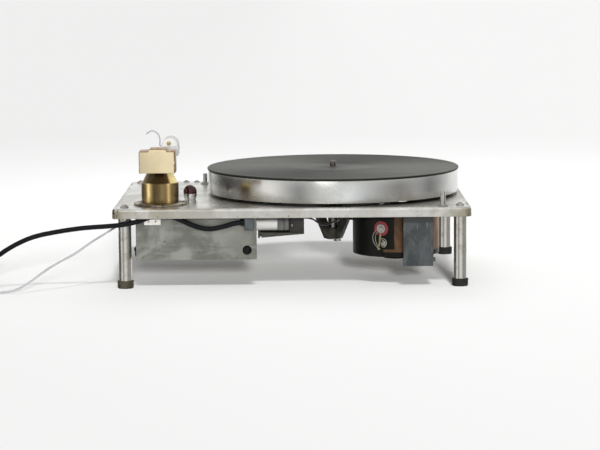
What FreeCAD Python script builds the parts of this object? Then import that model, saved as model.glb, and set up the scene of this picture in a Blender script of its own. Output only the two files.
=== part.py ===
import FreeCAD, Part
import math
import os

# A bare-chassis turntable: a pressed steel plate on four legs, with an idler-driven
# platter, a brass-weighted tonearm, and the motor and power box hung underneath.
# Millimetres, +Z up.  The origin is on the floor, under the middle of the object.
# -Y is the rear, where the leads leave; -X is the side of the tonearm.

V = FreeCAD.Vector
UP = V(0, 0, 1)
REAR = V(0, -1, 0)

# ---------------------------------------------------------------- driving dimensions
PLATE_LENGTH = 406.0
PLATE_DEPTH = 300.0
PLATE_TOP = 92.0
PLATE_LIP = 11.0
PLATE_Y = -5.0            # middle of the plate: the platter overhangs the front edge
SHEET = 1.5
BEND_RADIUS = 3.0
CORNER_RADIUS = 9.0

LEG_X = 191.0
ARM_SIDE_LEG_X = 189.8
LEG_INSET = 18.0          # from the plate's long edges to the legs' axes
LEG_RADIUS = 7.3
FOOT_HEIGHT = 8.7
FOOT_TOP_RADIUS = 9.4
FOOT_BOTTOM_RADIUS = 8.8
FOOT_FLOOR = 3.0          # rubber under the end of the leg
CAP_RADIUS = 4.75
CAP_HEIGHT = 3.6
M6_RADIUS = 3.0
M4_RADIUS = 2.0

PLATTER_X = 49.0
PLATTER_Y = 5.0
PLATTER_RADIUS = 149.0
PLATTER_BOTTOM = 95.2
PLATTER_TOP = 121.3
RIM_INNER = 140.0
WEB = 4.0
MAT_RADIUS = 150.0
MAT_TOP = 124.0
SPINDLE_RADIUS = 4.0      # in its bushes, the platter and the mat
SPINDLE_PIN_RADIUS = 3.55 # above the mat, for a record's hole
SPINDLE_TOP = 130.5
RUNNING_GAP = 0.05

HOUSING_RADIUS = 6.0
HOUSING_BORE = 4.75
HOUSING_BOTTOM = 37.0
HOUSING_TOP = 103.0
SPIDER_HUB_RADIUS = 8.6
SPIDER_HUB_TOP = 50.0

MOTOR_X = 121.0
MOTOR_Y = -85.0
MOTOR_RADIUS = 50.6       # over the black sleeve
CAN_RADIUS = 49.2
CAN_BOTTOM = 38.0
MOTOR_BOTTOM = 32.5
BOSS_BOTTOM = 26.0
CAN_TOP = 84.0
SHAFT_RADIUS = 2.5
STEP_RADII = (7.8, 4.5, 3.35)     # pulley steps for 78, 45 and 33 1/3 turns a minute
STEP_BOTTOMS = (93.5, 98.5, 103.5)
PULLEY_TOP = 113.0

CONTACT_GAP = 0.3         # kept free at both rolling contacts of the tyre
IDLER_RADIUS = 25.0
TYRE_RADIUS = IDLER_RADIUS - CONTACT_GAP
TYRE_BOTTOM = 105.0
TYRE_TOP = 110.0
LEVER_LENGTH = 45.0

ARM_X = -151.0
ARM_Y = -107.0
ARM_PIVOT_Z = 142.0
ARM_SLOPE = 2.0           # degrees that the beam falls towards the head
ARM_WIDTH = 22.0
ARM_DEPTH = 10.0
ARM_REACH = 216.0         # from the pivot to the front end of the beam
STYLUS_REACH = 244.0
STYLUS_Z = 126.3
PILLAR_RADIUS = 21.3
PILLAR_SHOULDER = 117.4
PILLAR_TOP = 131.0
PILLAR_TOP_RADIUS = 13.7
FLANGE_RADIUS = 30.5
FLANGE_HEIGHT = 3.0

BOX_LEFT = -176.8
BOX_RIGHT = -40.0
BOX_REAR = -145.0
BOX_FRONT = -75.0
BOX_BOTTOM = 32.8
BOX_SHEET = 1.2

PLATE_UNDER = PLATE_TOP - SHEET
REAR_EDGE = PLATE_Y - PLATE_DEPTH / 2
FRONT_EDGE = PLATE_Y + PLATE_DEPTH / 2
LEG_POSITIONS = {
    "rear_arm_side": (-ARM_SIDE_LEG_X, REAR_EDGE + LEG_INSET),
    "rear_motor_side": (LEG_X, REAR_EDGE + LEG_INSET),
    "front_arm_side": (-ARM_SIDE_LEG_X, FRONT_EDGE - LEG_INSET),
    "front_motor_side": (LEG_X, FRONT_EDGE - LEG_INSET),
}

# The idler touches both the rim's inside and the smallest pulley step, which fixes it.
motor_bearing = math.atan2(MOTOR_Y - PLATTER_Y, MOTOR_X - PLATTER_X)
motor_distance = math.hypot(MOTOR_X - PLATTER_X, MOTOR_Y - PLATTER_Y)
IDLER_DISTANCE = RIM_INNER - IDLER_RADIUS
pulley_distance = STEP_RADII[2] + IDLER_RADIUS
opening = math.acos((motor_distance ** 2 + IDLER_DISTANCE ** 2 - pulley_distance ** 2)
                    / (2 * motor_distance * IDLER_DISTANCE))
IDLER_X = PLATTER_X + IDLER_DISTANCE * math.cos(motor_bearing + opening)
IDLER_Y = PLATTER_Y + IDLER_DISTANCE * math.sin(motor_bearing + opening)
LEVER_X = IDLER_X - LEVER_LENGTH
LEVER_Y = IDLER_Y + 3.0

LAMP = (-118.9, -61.0)
SWITCH_SPINDLE = (-108.4, 111.0)
SPEED_SPINDLE = (170.6, -147.5)
ARM_REST_Y = 100.0

SPIDER_ANGLES = (30, 150, 210, 330)
SPIDER_FOOT = 39.5        # from the bearing's axis to the spider's screws
BOX_SCREWS = [(x, y) for x in (BOX_LEFT + 7, BOX_RIGHT - 10) for y in (-132.0, -88.0)]
MOTOR_SCREWS = [(MOTOR_X + 38 * math.cos(a), MOTOR_Y + 38 * math.sin(a))
                for a in (math.radians(d) for d in (60, 165, 240))]
FRONT_SCREWS = [(-133.0, 135.0), (-120.0, 135.0)]


# ---------------------------------------------------------------- helpers
def rod(x, y, bottom, top, radius):
    return Part.makeCylinder(radius, top - bottom, V(x, y, bottom), UP)


def tube(x, y, bottom, top, outer, inner):
    return rod(x, y, bottom, top, outer).cut(rod(x, y, bottom - 1, top + 1, inner))


def block(x0, x1, y0, y1, z0, z1):
    return Part.makeBox(x1 - x0, y1 - y0, z1 - z0, V(x0, y0, z0))


def cone(x, y, bottom, top, bottom_radius, top_radius):
    return Part.makeCone(bottom_radius, top_radius, top - bottom, V(x, y, bottom), UP)


def dome(x, y, base, radius, height):
    """A flat-bottomed cap cut from a ball."""
    ball = (radius ** 2 + height ** 2) / (2 * height)
    cap = Part.makeSphere(ball, V(x, y, base + height - ball))
    return cap.common(rod(x, y, base, base + height, radius))


def prism(points, direction):
    """A closed outline of straight sides, pushed along direction."""
    wire = Part.makePolygon([V(*p) for p in points] + [V(*points[0])])
    return Part.Face(wire).extrude(direction)


def spun(profile, x, y):
    """A closed outline of (radius, height) points turned about an upright axis."""
    wire = Part.makePolygon([V(r, 0, z) for r, z in profile + profile[:1]])
    solid = Part.Face(wire).revolve(V(0, 0, 0), UP, 360)
    solid.translate(V(x, y, 0))
    return solid


def turned(shape, x, y, degrees):
    shape.rotate(V(x, y, 0), UP, degrees)
    return shape


def group(solids):
    return Part.makeCompound(solids)


def rounded(shape, radius, along):
    """Round the straight edges that run along one axis."""
    edges = [e for e in shape.Edges
             if len(e.Vertexes) == 2 and e.tangentAt(e.FirstParameter).cross(along).Length < 1e-6]
    return shape.makeFillet(radius, edges)


def top_edges(shape):
    top = shape.BoundBox.ZMax
    return [e for e in shape.Edges if abs(e.BoundBox.ZMin - top) < 1e-6]


# ---------------------------------------------------------------- chassis
def chassis_plate():
    half_length = PLATE_LENGTH / 2
    half_depth = PLATE_DEPTH / 2
    outer = block(-half_length, half_length, PLATE_Y - half_depth, PLATE_Y + half_depth,
                  PLATE_TOP - PLATE_LIP, PLATE_TOP)
    outer = rounded(outer, CORNER_RADIUS, UP)
    outer = outer.makeFillet(BEND_RADIUS, top_edges(outer))
    inner = block(-half_length + SHEET, half_length - SHEET,
                  PLATE_Y - half_depth + SHEET, PLATE_Y + half_depth - SHEET,
                  PLATE_TOP - PLATE_LIP - 1, PLATE_UNDER)
    inner = rounded(inner, CORNER_RADIUS - SHEET, UP)
    inner = inner.makeFillet(BEND_RADIUS - SHEET, top_edges(inner))
    plate = outer.cut(inner)
    holes = [(x, y, M6_RADIUS) for x, y in LEG_POSITIONS.values()]
    holes += [(PLATTER_X, PLATTER_Y, HOUSING_RADIUS), (MOTOR_X, MOTOR_Y, 14.0)]
    holes += [(ARM_X, ARM_Y, 10.0), (LAMP[0], LAMP[1], 6.0)]
    holes += [(LEVER_X, LEVER_Y, M6_RADIUS + RUNNING_GAP)]
    holes += [(x, y, 5.0) for x, y in (SWITCH_SPINDLE, SPEED_SPINDLE)]
    holes += [(x, y, M4_RADIUS) for x, y in plate_screws()]
    for x, y, radius in holes:
        plate = plate.cut(rod(x, y, PLATE_UNDER - 1, PLATE_TOP + 1, radius))
    return plate


def spider_screws():
    return [(PLATTER_X + SPIDER_FOOT * math.cos(math.radians(a)),
             PLATTER_Y + SPIDER_FOOT * math.sin(math.radians(a))) for a in SPIDER_ANGLES]


def plate_screws():
    return spider_screws() + BOX_SCREWS + MOTOR_SCREWS + FRONT_SCREWS


def panel_screws():
    """Pan heads: those that hang something are driven from below, the rest from above."""
    head_radius, head_height = 3.6, 2.4
    solids = []
    seats = {point: PLATE_UNDER - 1.5 for point in spider_screws()}
    seats.update({point: PLATE_UNDER - BOX_SHEET for point in BOX_SCREWS})
    for (x, y), seat in seats.items():
        head = dome(x, y, 0, head_radius, head_height)
        head.rotate(V(x, y, 0), V(1, 0, 0), 180)
        head.translate(V(0, 0, seat))
        solids.append(head.fuse(rod(x, y, seat, PLATE_TOP, M4_RADIUS)))
    for x, y in MOTOR_SCREWS + FRONT_SCREWS:
        head = dome(x, y, PLATE_TOP, head_radius, head_height)
        solids.append(head.fuse(rod(x, y, PLATE_UNDER - 3.5, PLATE_TOP, M4_RADIUS)))
    return group(solids)


def legs():
    thread_depth = 16.0
    return group([rod(x, y, FOOT_FLOOR, PLATE_UNDER, LEG_RADIUS)
                  .cut(rod(x, y, PLATE_UNDER - thread_depth, PLATE_UNDER, M6_RADIUS))
                  for x, y in LEG_POSITIONS.values()])


def leg_cap_screws():
    shank_bottom = PLATE_UNDER - 12.0
    return group([dome(x, y, PLATE_TOP, CAP_RADIUS, CAP_HEIGHT)
                  .fuse(rod(x, y, shank_bottom, PLATE_TOP, M6_RADIUS))
                  for x, y in LEG_POSITIONS.values()])


def foot(x, y):
    cup = cone(x, y, 0, FOOT_HEIGHT, FOOT_BOTTOM_RADIUS, FOOT_TOP_RADIUS)
    return cup.cut(rod(x, y, FOOT_FLOOR, FOOT_HEIGHT + 1, LEG_RADIUS))


# ---------------------------------------------------------------- platter and its bearing
def platter():
    hub_radius, hub_bottom = 15.0, 104.5
    under = PLATTER_TOP - WEB
    step = 2.0
    return spun([(SPINDLE_RADIUS, hub_bottom), (hub_radius, hub_bottom), (hub_radius, under),
                 (RIM_INNER, under), (RIM_INNER, PLATTER_BOTTOM),
                 (PLATTER_RADIUS - step / 2, PLATTER_BOTTOM), (PLATTER_RADIUS, PLATTER_BOTTOM + step / 2),
                 (PLATTER_RADIUS, PLATTER_TOP), (SPINDLE_RADIUS, PLATTER_TOP)],
                PLATTER_X, PLATTER_Y)


def platter_mat():
    edge = 0.6
    return spun([(SPINDLE_RADIUS + 0.3, PLATTER_TOP), (MAT_RADIUS, PLATTER_TOP),
                 (MAT_RADIUS, MAT_TOP - edge), (MAT_RADIUS - edge, MAT_TOP),
                 (SPINDLE_RADIUS + 0.3, MAT_TOP)], PLATTER_X, PLATTER_Y)


BALL_RADIUS = 2.5
BALL_Z = 44.5


def spindle():
    crown = 1.6
    body = rod(PLATTER_X, PLATTER_Y, BALL_Z + BALL_RADIUS, MAT_TOP, SPINDLE_RADIUS)
    body = body.fuse(rod(PLATTER_X, PLATTER_Y, MAT_TOP, SPINDLE_TOP - crown, SPINDLE_PIN_RADIUS))
    return body.fuse(dome(PLATTER_X, PLATTER_Y, SPINDLE_TOP - crown, SPINDLE_PIN_RADIUS, crown))


def bearing_housing():
    flange_radius, flange_height = 22.0, 2.8
    body = rod(PLATTER_X, PLATTER_Y, HOUSING_BOTTOM, HOUSING_TOP, HOUSING_RADIUS)
    body = body.fuse(rod(PLATTER_X, PLATTER_Y, PLATE_TOP, PLATE_TOP + flange_height, flange_radius))
    return body.cut(rod(PLATTER_X, PLATTER_Y, 0, HOUSING_TOP + 1, HOUSING_BORE))


def bearing_bushes():
    bore = SPINDLE_RADIUS + RUNNING_GAP
    return group([tube(PLATTER_X, PLATTER_Y, z, z + 12, HOUSING_BORE, bore) for z in (48.0, 90.0)])


def thrust_ball():
    return Part.makeSphere(BALL_RADIUS, V(PLATTER_X, PLATTER_Y, BALL_Z))


def bearing_end_nut():
    """The plate that closes the bearing, with its lock nut off to the motor's side."""
    plate_radius, plate_bottom = 8.0, 36.0
    nut_radius, nut_bottom = 4.2, 33.6
    nut_x, nut_y = PLATTER_X + 5.0, PLATTER_Y - 3.0
    corners = [(nut_x + nut_radius * math.cos(math.radians(a)),
                nut_y + nut_radius * math.sin(math.radians(a)), nut_bottom)
               for a in range(0, 360, 60)]
    nut = prism(corners, V(0, 0, HOUSING_BOTTOM - nut_bottom))
    nut = nut.fuse(rod(PLATTER_X, PLATTER_Y, plate_bottom, HOUSING_BOTTOM, plate_radius))
    return nut.fuse(rod(PLATTER_X, PLATTER_Y, HOUSING_BOTTOM, BALL_Z - BALL_RADIUS, HOUSING_BORE))


def bearing_spider():
    """A cast hub round the foot of the housing, with four splayed arms up to the plate."""
    hub = tube(PLATTER_X, PLATTER_Y, HOUSING_BOTTOM, SPIDER_HUB_TOP, SPIDER_HUB_RADIUS, HOUSING_RADIUS)
    width, foot_sheet = 8.0, 1.5
    foot_end = SPIDER_FOOT + 5.5
    outline = [(7.0, 0, HOUSING_BOTTOM), (10.6, 0, HOUSING_BOTTOM),
               (34.5, 0, PLATE_UNDER - foot_sheet), (foot_end, 0, PLATE_UNDER - foot_sheet),
               (foot_end, 0, PLATE_UNDER), (24.5, 0, PLATE_UNDER), (7.0, 0, SPIDER_HUB_TOP)]
    for angle in SPIDER_ANGLES:
        arm = prism(outline, V(0, width, 0))
        arm.translate(V(PLATTER_X, PLATTER_Y - width / 2, 0))
        hub = hub.fuse(turned(arm, PLATTER_X, PLATTER_Y, angle))
    hub = hub.cut(rod(PLATTER_X, PLATTER_Y, 0, PLATE_TOP, HOUSING_RADIUS))
    for x, y in spider_screws():
        hub = hub.cut(rod(x, y, 80, PLATE_TOP, M4_RADIUS))
    return hub


# ---------------------------------------------------------------- motor and idler
def motor_can():
    wall = 1.3
    can = rod(MOTOR_X, MOTOR_Y, CAN_BOTTOM, CAN_TOP, CAN_RADIUS)
    can = can.cut(rod(MOTOR_X, MOTOR_Y, 0, CAN_TOP - wall, CAN_RADIUS - wall))
    for x, y in MOTOR_SCREWS:
        can = can.fuse(rod(x, y, CAN_TOP, PLATE_UNDER, 5.0))
    can = can.cut(rod(MOTOR_X, MOTOR_Y, 0, PLATE_TOP, SHAFT_RADIUS + RUNNING_GAP))
    for x, y in MOTOR_SCREWS:
        can = can.cut(rod(x, y, CAN_TOP, PLATE_TOP, M4_RADIUS))
    return can


def motor_housing():
    """A black half sleeve round the side of the can that faces the bearing."""
    sleeve = tube(MOTOR_X, MOTOR_Y, MOTOR_BOTTOM, CAN_TOP, MOTOR_RADIUS, CAN_RADIUS)
    reach = 2 * MOTOR_RADIUS
    past_half = block(MOTOR_X - 5.0, MOTOR_X + reach, MOTOR_Y - reach, MOTOR_Y + reach, 0, PLATE_TOP)
    bare_rim = block(MOTOR_X - 18.0, MOTOR_X + reach, MOTOR_Y - reach, MOTOR_Y + reach, 0, 41.5)
    return sleeve.cut(past_half).cut(bare_rim)


def motor_base():
    boss_radius = 17.0
    base = rod(MOTOR_X, MOTOR_Y, MOTOR_BOTTOM, CAN_BOTTOM, CAN_RADIUS)
    base = base.fuse(cone(MOTOR_X, MOTOR_Y, BOSS_BOTTOM, MOTOR_BOTTOM, boss_radius - 1.5, boss_radius))
    return base.cut(rod(MOTOR_X, MOTOR_Y, BOSS_BOTTOM + 2, CAN_BOTTOM + 1, SHAFT_RADIUS + RUNNING_GAP))


STATOR_BORE = 22.0
STATOR_BOTTOM = 48.0
STATOR_TOP = 73.0


def motor_stator():
    """A laminated ring with four poles, cut away between them for the coils."""
    outer = CAN_RADIUS - 1.3
    ring = tube(MOTOR_X, MOTOR_Y, STATOR_BOTTOM, STATOR_TOP, outer, STATOR_BORE)
    for angle in range(0, 360, 90):
        slot = block(MOTOR_X + 24, MOTOR_X + 38, MOTOR_Y - 12, MOTOR_Y + 12, 0, PLATE_TOP)
        ring = ring.cut(turned(slot, MOTOR_X, MOTOR_Y, angle + 45))
    return ring


def motor_coils():
    coils = []
    for angle in range(0, 360, 90):
        coil = block(MOTOR_X + 26, MOTOR_X + 36, MOTOR_Y - 10, MOTOR_Y + 10,
                     STATOR_BOTTOM - 6, STATOR_TOP + 6)
        coils.append(turned(rounded(coil, 3.0, UP), MOTOR_X, MOTOR_Y, angle + 45))
    return group(coils)


def motor_rotor():
    return tube(MOTOR_X, MOTOR_Y, STATOR_BOTTOM + 1, STATOR_TOP - 1, STATOR_BORE - 0.5, SHAFT_RADIUS)


def motor_shaft():
    shaft = rod(MOTOR_X, MOTOR_Y, BOSS_BOTTOM + 2.3, STEP_BOTTOMS[0], SHAFT_RADIUS)
    tops = STEP_BOTTOMS[1:] + (PULLEY_TOP,)
    for radius, bottom, top in zip(STEP_RADII, STEP_BOTTOMS, tops):
        shaft = shaft.fuse(rod(MOTOR_X, MOTOR_Y, bottom, top, radius))
    return shaft


def idler_lever():
    """The swinging lever, with its pivot pin through the plate and the idler's axle."""
    bottom, top, half_width, axle_radius = 99.0, 101.0, 6.0, 1.5
    angle = math.degrees(math.atan2(IDLER_Y - LEVER_Y, IDLER_X - LEVER_X))
    length = math.hypot(IDLER_X - LEVER_X, IDLER_Y - LEVER_Y)
    lever = block(LEVER_X, LEVER_X + length, LEVER_Y - half_width, LEVER_Y + half_width, bottom, top)
    lever = turned(lever, LEVER_X, LEVER_Y, angle)
    lever = lever.fuse(rod(LEVER_X, LEVER_Y, bottom, top, half_width))
    lever = lever.fuse(rod(IDLER_X, IDLER_Y, bottom, top, half_width))
    lever = lever.fuse(rod(LEVER_X, LEVER_Y, PLATE_TOP + 0.3, bottom, half_width - 1))
    lever = lever.fuse(rod(LEVER_X, LEVER_Y, CAN_TOP + 1, PLATE_TOP + 0.3, M6_RADIUS))
    lever = lever.fuse(rod(LEVER_X, LEVER_Y, CAN_TOP + 2, PLATE_UNDER - 0.3, half_width - 1))
    return lever.fuse(rod(IDLER_X, IDLER_Y, top, TYRE_TOP + 2, axle_radius))


WHEEL_RADIUS = 20.5


def idler_wheel():
    bore, hub_radius = 1.5 + RUNNING_GAP, 6.0
    return spun([(bore, 101.3), (hub_radius, 101.3), (hub_radius, TYRE_BOTTOM + 1.5),
                 (WHEEL_RADIUS, TYRE_BOTTOM + 1.5), (WHEEL_RADIUS, TYRE_TOP - 1.5),
                 (hub_radius, TYRE_TOP - 1.5), (hub_radius, TYRE_TOP + 1), (bore, TYRE_TOP + 1)],
                IDLER_X, IDLER_Y)


def idler_tyre():
    bevel = 0.8
    return spun([(WHEEL_RADIUS, TYRE_BOTTOM), (TYRE_RADIUS - bevel, TYRE_BOTTOM),
                 (TYRE_RADIUS, TYRE_BOTTOM + bevel), (TYRE_RADIUS, TYRE_TOP - bevel),
                 (TYRE_RADIUS - bevel, TYRE_TOP), (WHEEL_RADIUS, TYRE_TOP)], IDLER_X, IDLER_Y)


def junction_box():
    box = block(126.0, 160.0, -148.0, -137.0, 24.0, PLATE_UNDER)
    box = rounded(box, 1.5, UP)
    screw = Part.makeCylinder(2.4, 3.0, V(160.0, -142.0, 31.0), V(1, 0, 0))
    return box.fuse(screw).cut(rod(MOTOR_X, MOTOR_Y, 0, PLATE_TOP, MOTOR_RADIUS))


STUD_ANGLE = -112.3       # bearing of the earth stud on the motor's side
STUD_Z = 65.2


def at_stud(offset_along, rise, start, length, radius):
    """A short rod pointing straight out of the motor's side near the earth stud."""
    angle = math.radians(STUD_ANGLE)
    out = V(math.cos(angle), math.sin(angle), 0)
    side = V(-math.sin(angle), math.cos(angle), 0)
    foot_point = V(MOTOR_X, MOTOR_Y, STUD_Z + rise) + out * (MOTOR_RADIUS + start) + side * offset_along
    return Part.makeCylinder(radius, length, foot_point, out)


def red_washer():
    return at_stud(0, 0, 0.2, 1.0, 8.5).cut(at_stud(0, 0, -1, 4, 2.0))


def earth_terminals():
    """Two ring tags: one on the stud over the washer, a smaller one below it."""
    stud = at_stud(0, 0, 0, 4.2, 2.0)
    upper = at_stud(0, 0, 1.2, 0.8, 5.3).fuse(at_stud(0, 0, 2.0, 1.4, 3.4))
    lower = at_stud(3.6, -17, 0.2, 1.0, 3.4).fuse(at_stud(3.6, -17, 0.2, 2.2, 1.6))
    return group([stud.fuse(upper), lower])


# ---------------------------------------------------------------- power box and rear panel
def preamp_box():
    """A folded tray, screwed up under the plate by two inward flanges."""
    outer = block(BOX_LEFT, BOX_RIGHT - 3, BOX_REAR, BOX_FRONT, BOX_BOTTOM, PLATE_UNDER)
    outer = outer.fuse(block(BOX_LEFT, BOX_RIGHT, BOX_REAR, BOX_REAR + BOX_SHEET, BOX_BOTTOM, PLATE_UNDER - 9))
    inner = block(BOX_LEFT + BOX_SHEET, BOX_RIGHT - 3 - BOX_SHEET, BOX_REAR + BOX_SHEET,
                  BOX_FRONT - BOX_SHEET, BOX_BOTTOM + BOX_SHEET, PLATE_UNDER - BOX_SHEET)
    mouth = block(BOX_LEFT + 10, BOX_RIGHT - 17, BOX_REAR + BOX_SHEET, BOX_FRONT - BOX_SHEET,
                  PLATE_UNDER - 2, PLATE_TOP)
    box = outer.cut(inner).cut(mouth)
    for x, y in BOX_SCREWS:
        box = box.cut(rod(x, y, 80, PLATE_TOP, M4_RADIUS))
    return box


def transformer():
    floor = BOX_BOTTOM + BOX_SHEET
    core = block(-168.0, -122.0, -131.0, -96.0, floor, floor + 38)
    window = block(-160.5, -129.5, -140.0, -80.0, floor + 7.5, floor + 30.5)
    limb = block(-153.0, -137.0, -131.0, -96.0, floor + 7.5, floor + 30.5)
    bobbin = block(-160.5, -129.5, -138.0, -89.0, floor + 8.5, floor + 29.5).cut(limb)
    return group([core.cut(window).fuse(limb), bobbin])


def tag_board():
    board_z = BOX_BOTTOM + 14
    board = block(-112.0, -56.0, -131.0, -92.0, board_z, board_z + 1.6)
    parts = [rod(x, -120.0, board_z + 1.6, board_z + 24, 7.0) for x in (-102.0, -84.0)]
    parts += [block(-72.0, -62.0, -126.0, -104.0, board_z + 1.6, board_z + 12)]
    parts += [rod(x, y, BOX_BOTTOM + BOX_SHEET, board_z, 2.5) for x in (-108.0, -60.0)
              for y in (-127.0, -96.0)]
    return group([board] + parts)


def box_plugs():
    """Two glossy domed plugs, one in the rear wall and one in the end wall."""
    radius, height = 5.2, 3.6
    rear = dome(0, 0, 0, radius, height)
    rear.rotate(V(0, 0, 0), V(1, 0, 0), 90)
    rear.translate(V(-51.0, BOX_REAR, 43.5))
    end = dome(0, 0, 0, radius - 0.8, height)
    end.rotate(V(0, 0, 0), V(0, 1, 0), -90)
    end.translate(V(BOX_LEFT, -128.0, 43.0))
    return group([rear, end])


def terminal_block():
    middle = 77.0
    body = block(-167.0, -148.5, BOX_REAR - 1.6, BOX_REAR, middle - 4, middle + 4)
    for x in (-162.0, -154.0):
        body = body.cut(Part.makeCylinder(1.3, 2.0, V(x, BOX_REAR - 2.6, middle), V(0, 1, 0)))
    return body


CORD_Y = -149.4
CORD_Z = 75.6


def cable_clamp():
    tab = block(-53.6, -43.0, CORD_Y - 3.6, BOX_REAR, 67.0, 80.0)
    return rounded(tab, 1.2, V(0, 0, 1))


def run_capacitor():
    """A white-sleeved capacitor lying along the rear, and the metal block at its end."""
    y, z = -115.0, 70.0
    sleeve = Part.makeCylinder(8.0, 25.5, V(-42.0, y, z), V(1, 0, 0))
    end = block(-16.5, -2.8, y - 8, y + 8, z - 7.5, z + 7.5)
    return group([sleeve, end])


def microswitch():
    body = block(-2.8, 13.8, -125.0, -105.5, 60.5, 80.0)
    slider = block(-1.5, 1.7, -126.6, -125.0, 67.0, 71.0)
    return body.fuse(slider)


def switch_bracket():
    """A folded bracket: a back plate up to the chassis and a sloping shelf under the switch."""
    sheet = 1.5
    back = block(-37.0, 13.8, -105.5, -105.5 + sheet, 60.0, PLATE_UNDER)
    shelf = prism([(-35.0, -126.0, 55.0), (13.8, -126.0, 59.0), (13.8, -126.0, 60.5), (-35.0, -126.0, 60.5)],
                  V(0, 22.0, 0))
    ear = block(-39.0, -37.0, -118.0, -105.5 + sheet, 53.5, 61.5)
    tie = block(-37.0, -35.0, -118.0, -105.5 + sheet, 55.5, 60.5)
    return back.fuse(shelf).fuse(ear).fuse(tie)


# ---------------------------------------------------------------- top-plate fittings
JEWEL_RADIUS = 7.8
JEWEL_SEAT = 99.4


def lamp_bezel():
    x, y = LAMP
    barrel_radius = 6.0
    bezel = spun([(4.0, 78.0), (barrel_radius, 78.0), (barrel_radius, PLATE_TOP),
                  (6.2, PLATE_TOP), (7.1, 94.5), (7.7, 97.0), (JEWEL_RADIUS, JEWEL_SEAT),
                  (5.5, JEWEL_SEAT), (5.5, 97.0), (4.0, 97.0)], x, y)
    nut = tube(x, y, PLATE_UNDER - 3, PLATE_UNDER, 9.0, barrel_radius)
    return bezel.fuse(nut)


def lamp_jewel():
    x, y = LAMP
    band_top = 101.6
    jewel = rod(x, y, 97.0, JEWEL_SEAT, 5.5).fuse(rod(x, y, JEWEL_SEAT, band_top, JEWEL_RADIUS))
    return jewel.fuse(dome(x, y, band_top, JEWEL_RADIUS, JEWEL_RADIUS))


def rotary_switch():
    x, y = SWITCH_SPINDLE
    body = rod(x, y, 70.0, 87.5, 13.0).fuse(rod(x, y, 87.5, PLATE_UNDER, 7.0))
    return body.cut(rod(x, y, 76.0, PLATE_TOP, 2.7 + RUNNING_GAP))


def spindle_bushes():
    """The threaded bushes, with their nuts, that carry the two control spindles."""
    solids = []
    for (x, y), radius in ((SWITCH_SPINDLE, 2.7), (SPEED_SPINDLE, 3.15)):
        bush = tube(x, y, PLATE_UNDER, PLATE_TOP + 2.2, 5.0, radius + RUNNING_GAP)
        collar = tube(x, y, PLATE_TOP, PLATE_TOP + 1.2, 6.4, 5.0)
        solids.append(bush.fuse(collar))
    return group(solids)


def control_spindle(position, radius, bottom, top):
    x, y = position
    crown = 0.8
    return rod(x, y, bottom, top - crown, radius).fuse(dome(x, y, top - crown, radius, crown))


# ---------------------------------------------------------------- tonearm
def arm_base_flange():
    edge = 1.0
    flange = spun([(10.0, PLATE_TOP), (FLANGE_RADIUS, PLATE_TOP),
                   (FLANGE_RADIUS, PLATE_TOP + FLANGE_HEIGHT - edge),
                   (FLANGE_RADIUS - edge, PLATE_TOP + FLANGE_HEIGHT), (10.0, PLATE_TOP + FLANGE_HEIGHT)],
                  ARM_X, ARM_Y)
    return flange


PIVOT_BORE = 4.0


def arm_pillar():
    seat = PLATE_TOP + FLANGE_HEIGHT
    stem_bottom = 80.0
    pillar = spun([(PIVOT_BORE + RUNNING_GAP, stem_bottom), (10.0, stem_bottom), (10.0, seat),
                   (PILLAR_RADIUS, seat), (PILLAR_RADIUS, PILLAR_SHOULDER),
                   (PILLAR_TOP_RADIUS, PILLAR_TOP), (PIVOT_BORE + RUNNING_GAP, PILLAR_TOP)],
                  ARM_X, ARM_Y)
    nut = tube(ARM_X, ARM_Y, PLATE_UNDER - 5, PLATE_UNDER, 15.0, 10.0)
    return pillar.fuse(nut)


CHEEK_INNER = 13.0
CHEEK_OUTER = 16.0
PIN_RADIUS = 2.0


def arm_yoke():
    """A fork on the pivot shaft; the beam's cross pin turns in its two cheeks."""
    base_bottom, base_top, half_depth = PILLAR_TOP + 0.3, 134.3, 6.0
    yoke = rod(ARM_X, ARM_Y, 84.0, base_bottom, PIVOT_BORE)
    yoke = yoke.fuse(block(ARM_X - CHEEK_OUTER, ARM_X + CHEEK_OUTER, ARM_Y - half_depth,
                           ARM_Y + half_depth, base_bottom, base_top))
    for side in (-1, 1):
        inner, outer = side * CHEEK_INNER, side * CHEEK_OUTER
        cheek = block(ARM_X + min(inner, outer), ARM_X + max(inner, outer),
                      ARM_Y - half_depth, ARM_Y + half_depth, base_bottom, ARM_PIVOT_Z + 5)
        yoke = yoke.fuse(cheek)
    bore = Part.makeCylinder(PIN_RADIUS + RUNNING_GAP, 60, V(ARM_X - 30, ARM_Y, ARM_PIVOT_Z), V(1, 0, 0))
    return yoke.cut(bore)


def arm_beam():
    """An inverted channel with a cross pin through it."""
    half, wall = ARM_WIDTH / 2, 1.6
    rear, front = ARM_Y - 17.0, ARM_Y + ARM_REACH
    bottom, top = ARM_PIVOT_Z - ARM_DEPTH / 2, ARM_PIVOT_Z + ARM_DEPTH / 2
    beam = block(ARM_X - half, ARM_X + half, rear, front, bottom, top)
    beam = rounded(beam, 2.0, V(0, 1, 0))
    beam = beam.cut(block(ARM_X - half + wall, ARM_X + half - wall, ARM_Y + 12, front - 12, bottom - 1, top - wall))
    beam.rotate(V(ARM_X, ARM_Y, ARM_PIVOT_Z), V(1, 0, 0), -ARM_SLOPE)
    pin = Part.makeCylinder(PIN_RADIUS, 2 * CHEEK_OUTER, V(ARM_X - CHEEK_OUTER, ARM_Y, ARM_PIVOT_Z), V(1, 0, 0))
    beam = beam.fuse(pin)
    trimmed = block(ARM_X - 40, ARM_X + 40, REAR_EDGE - 50, WEIGHT_FRONT, 0, 300)
    return beam.cut(trimmed)


WEIGHT_REAR = -153.0
WEIGHT_FRONT = -124.5


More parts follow.
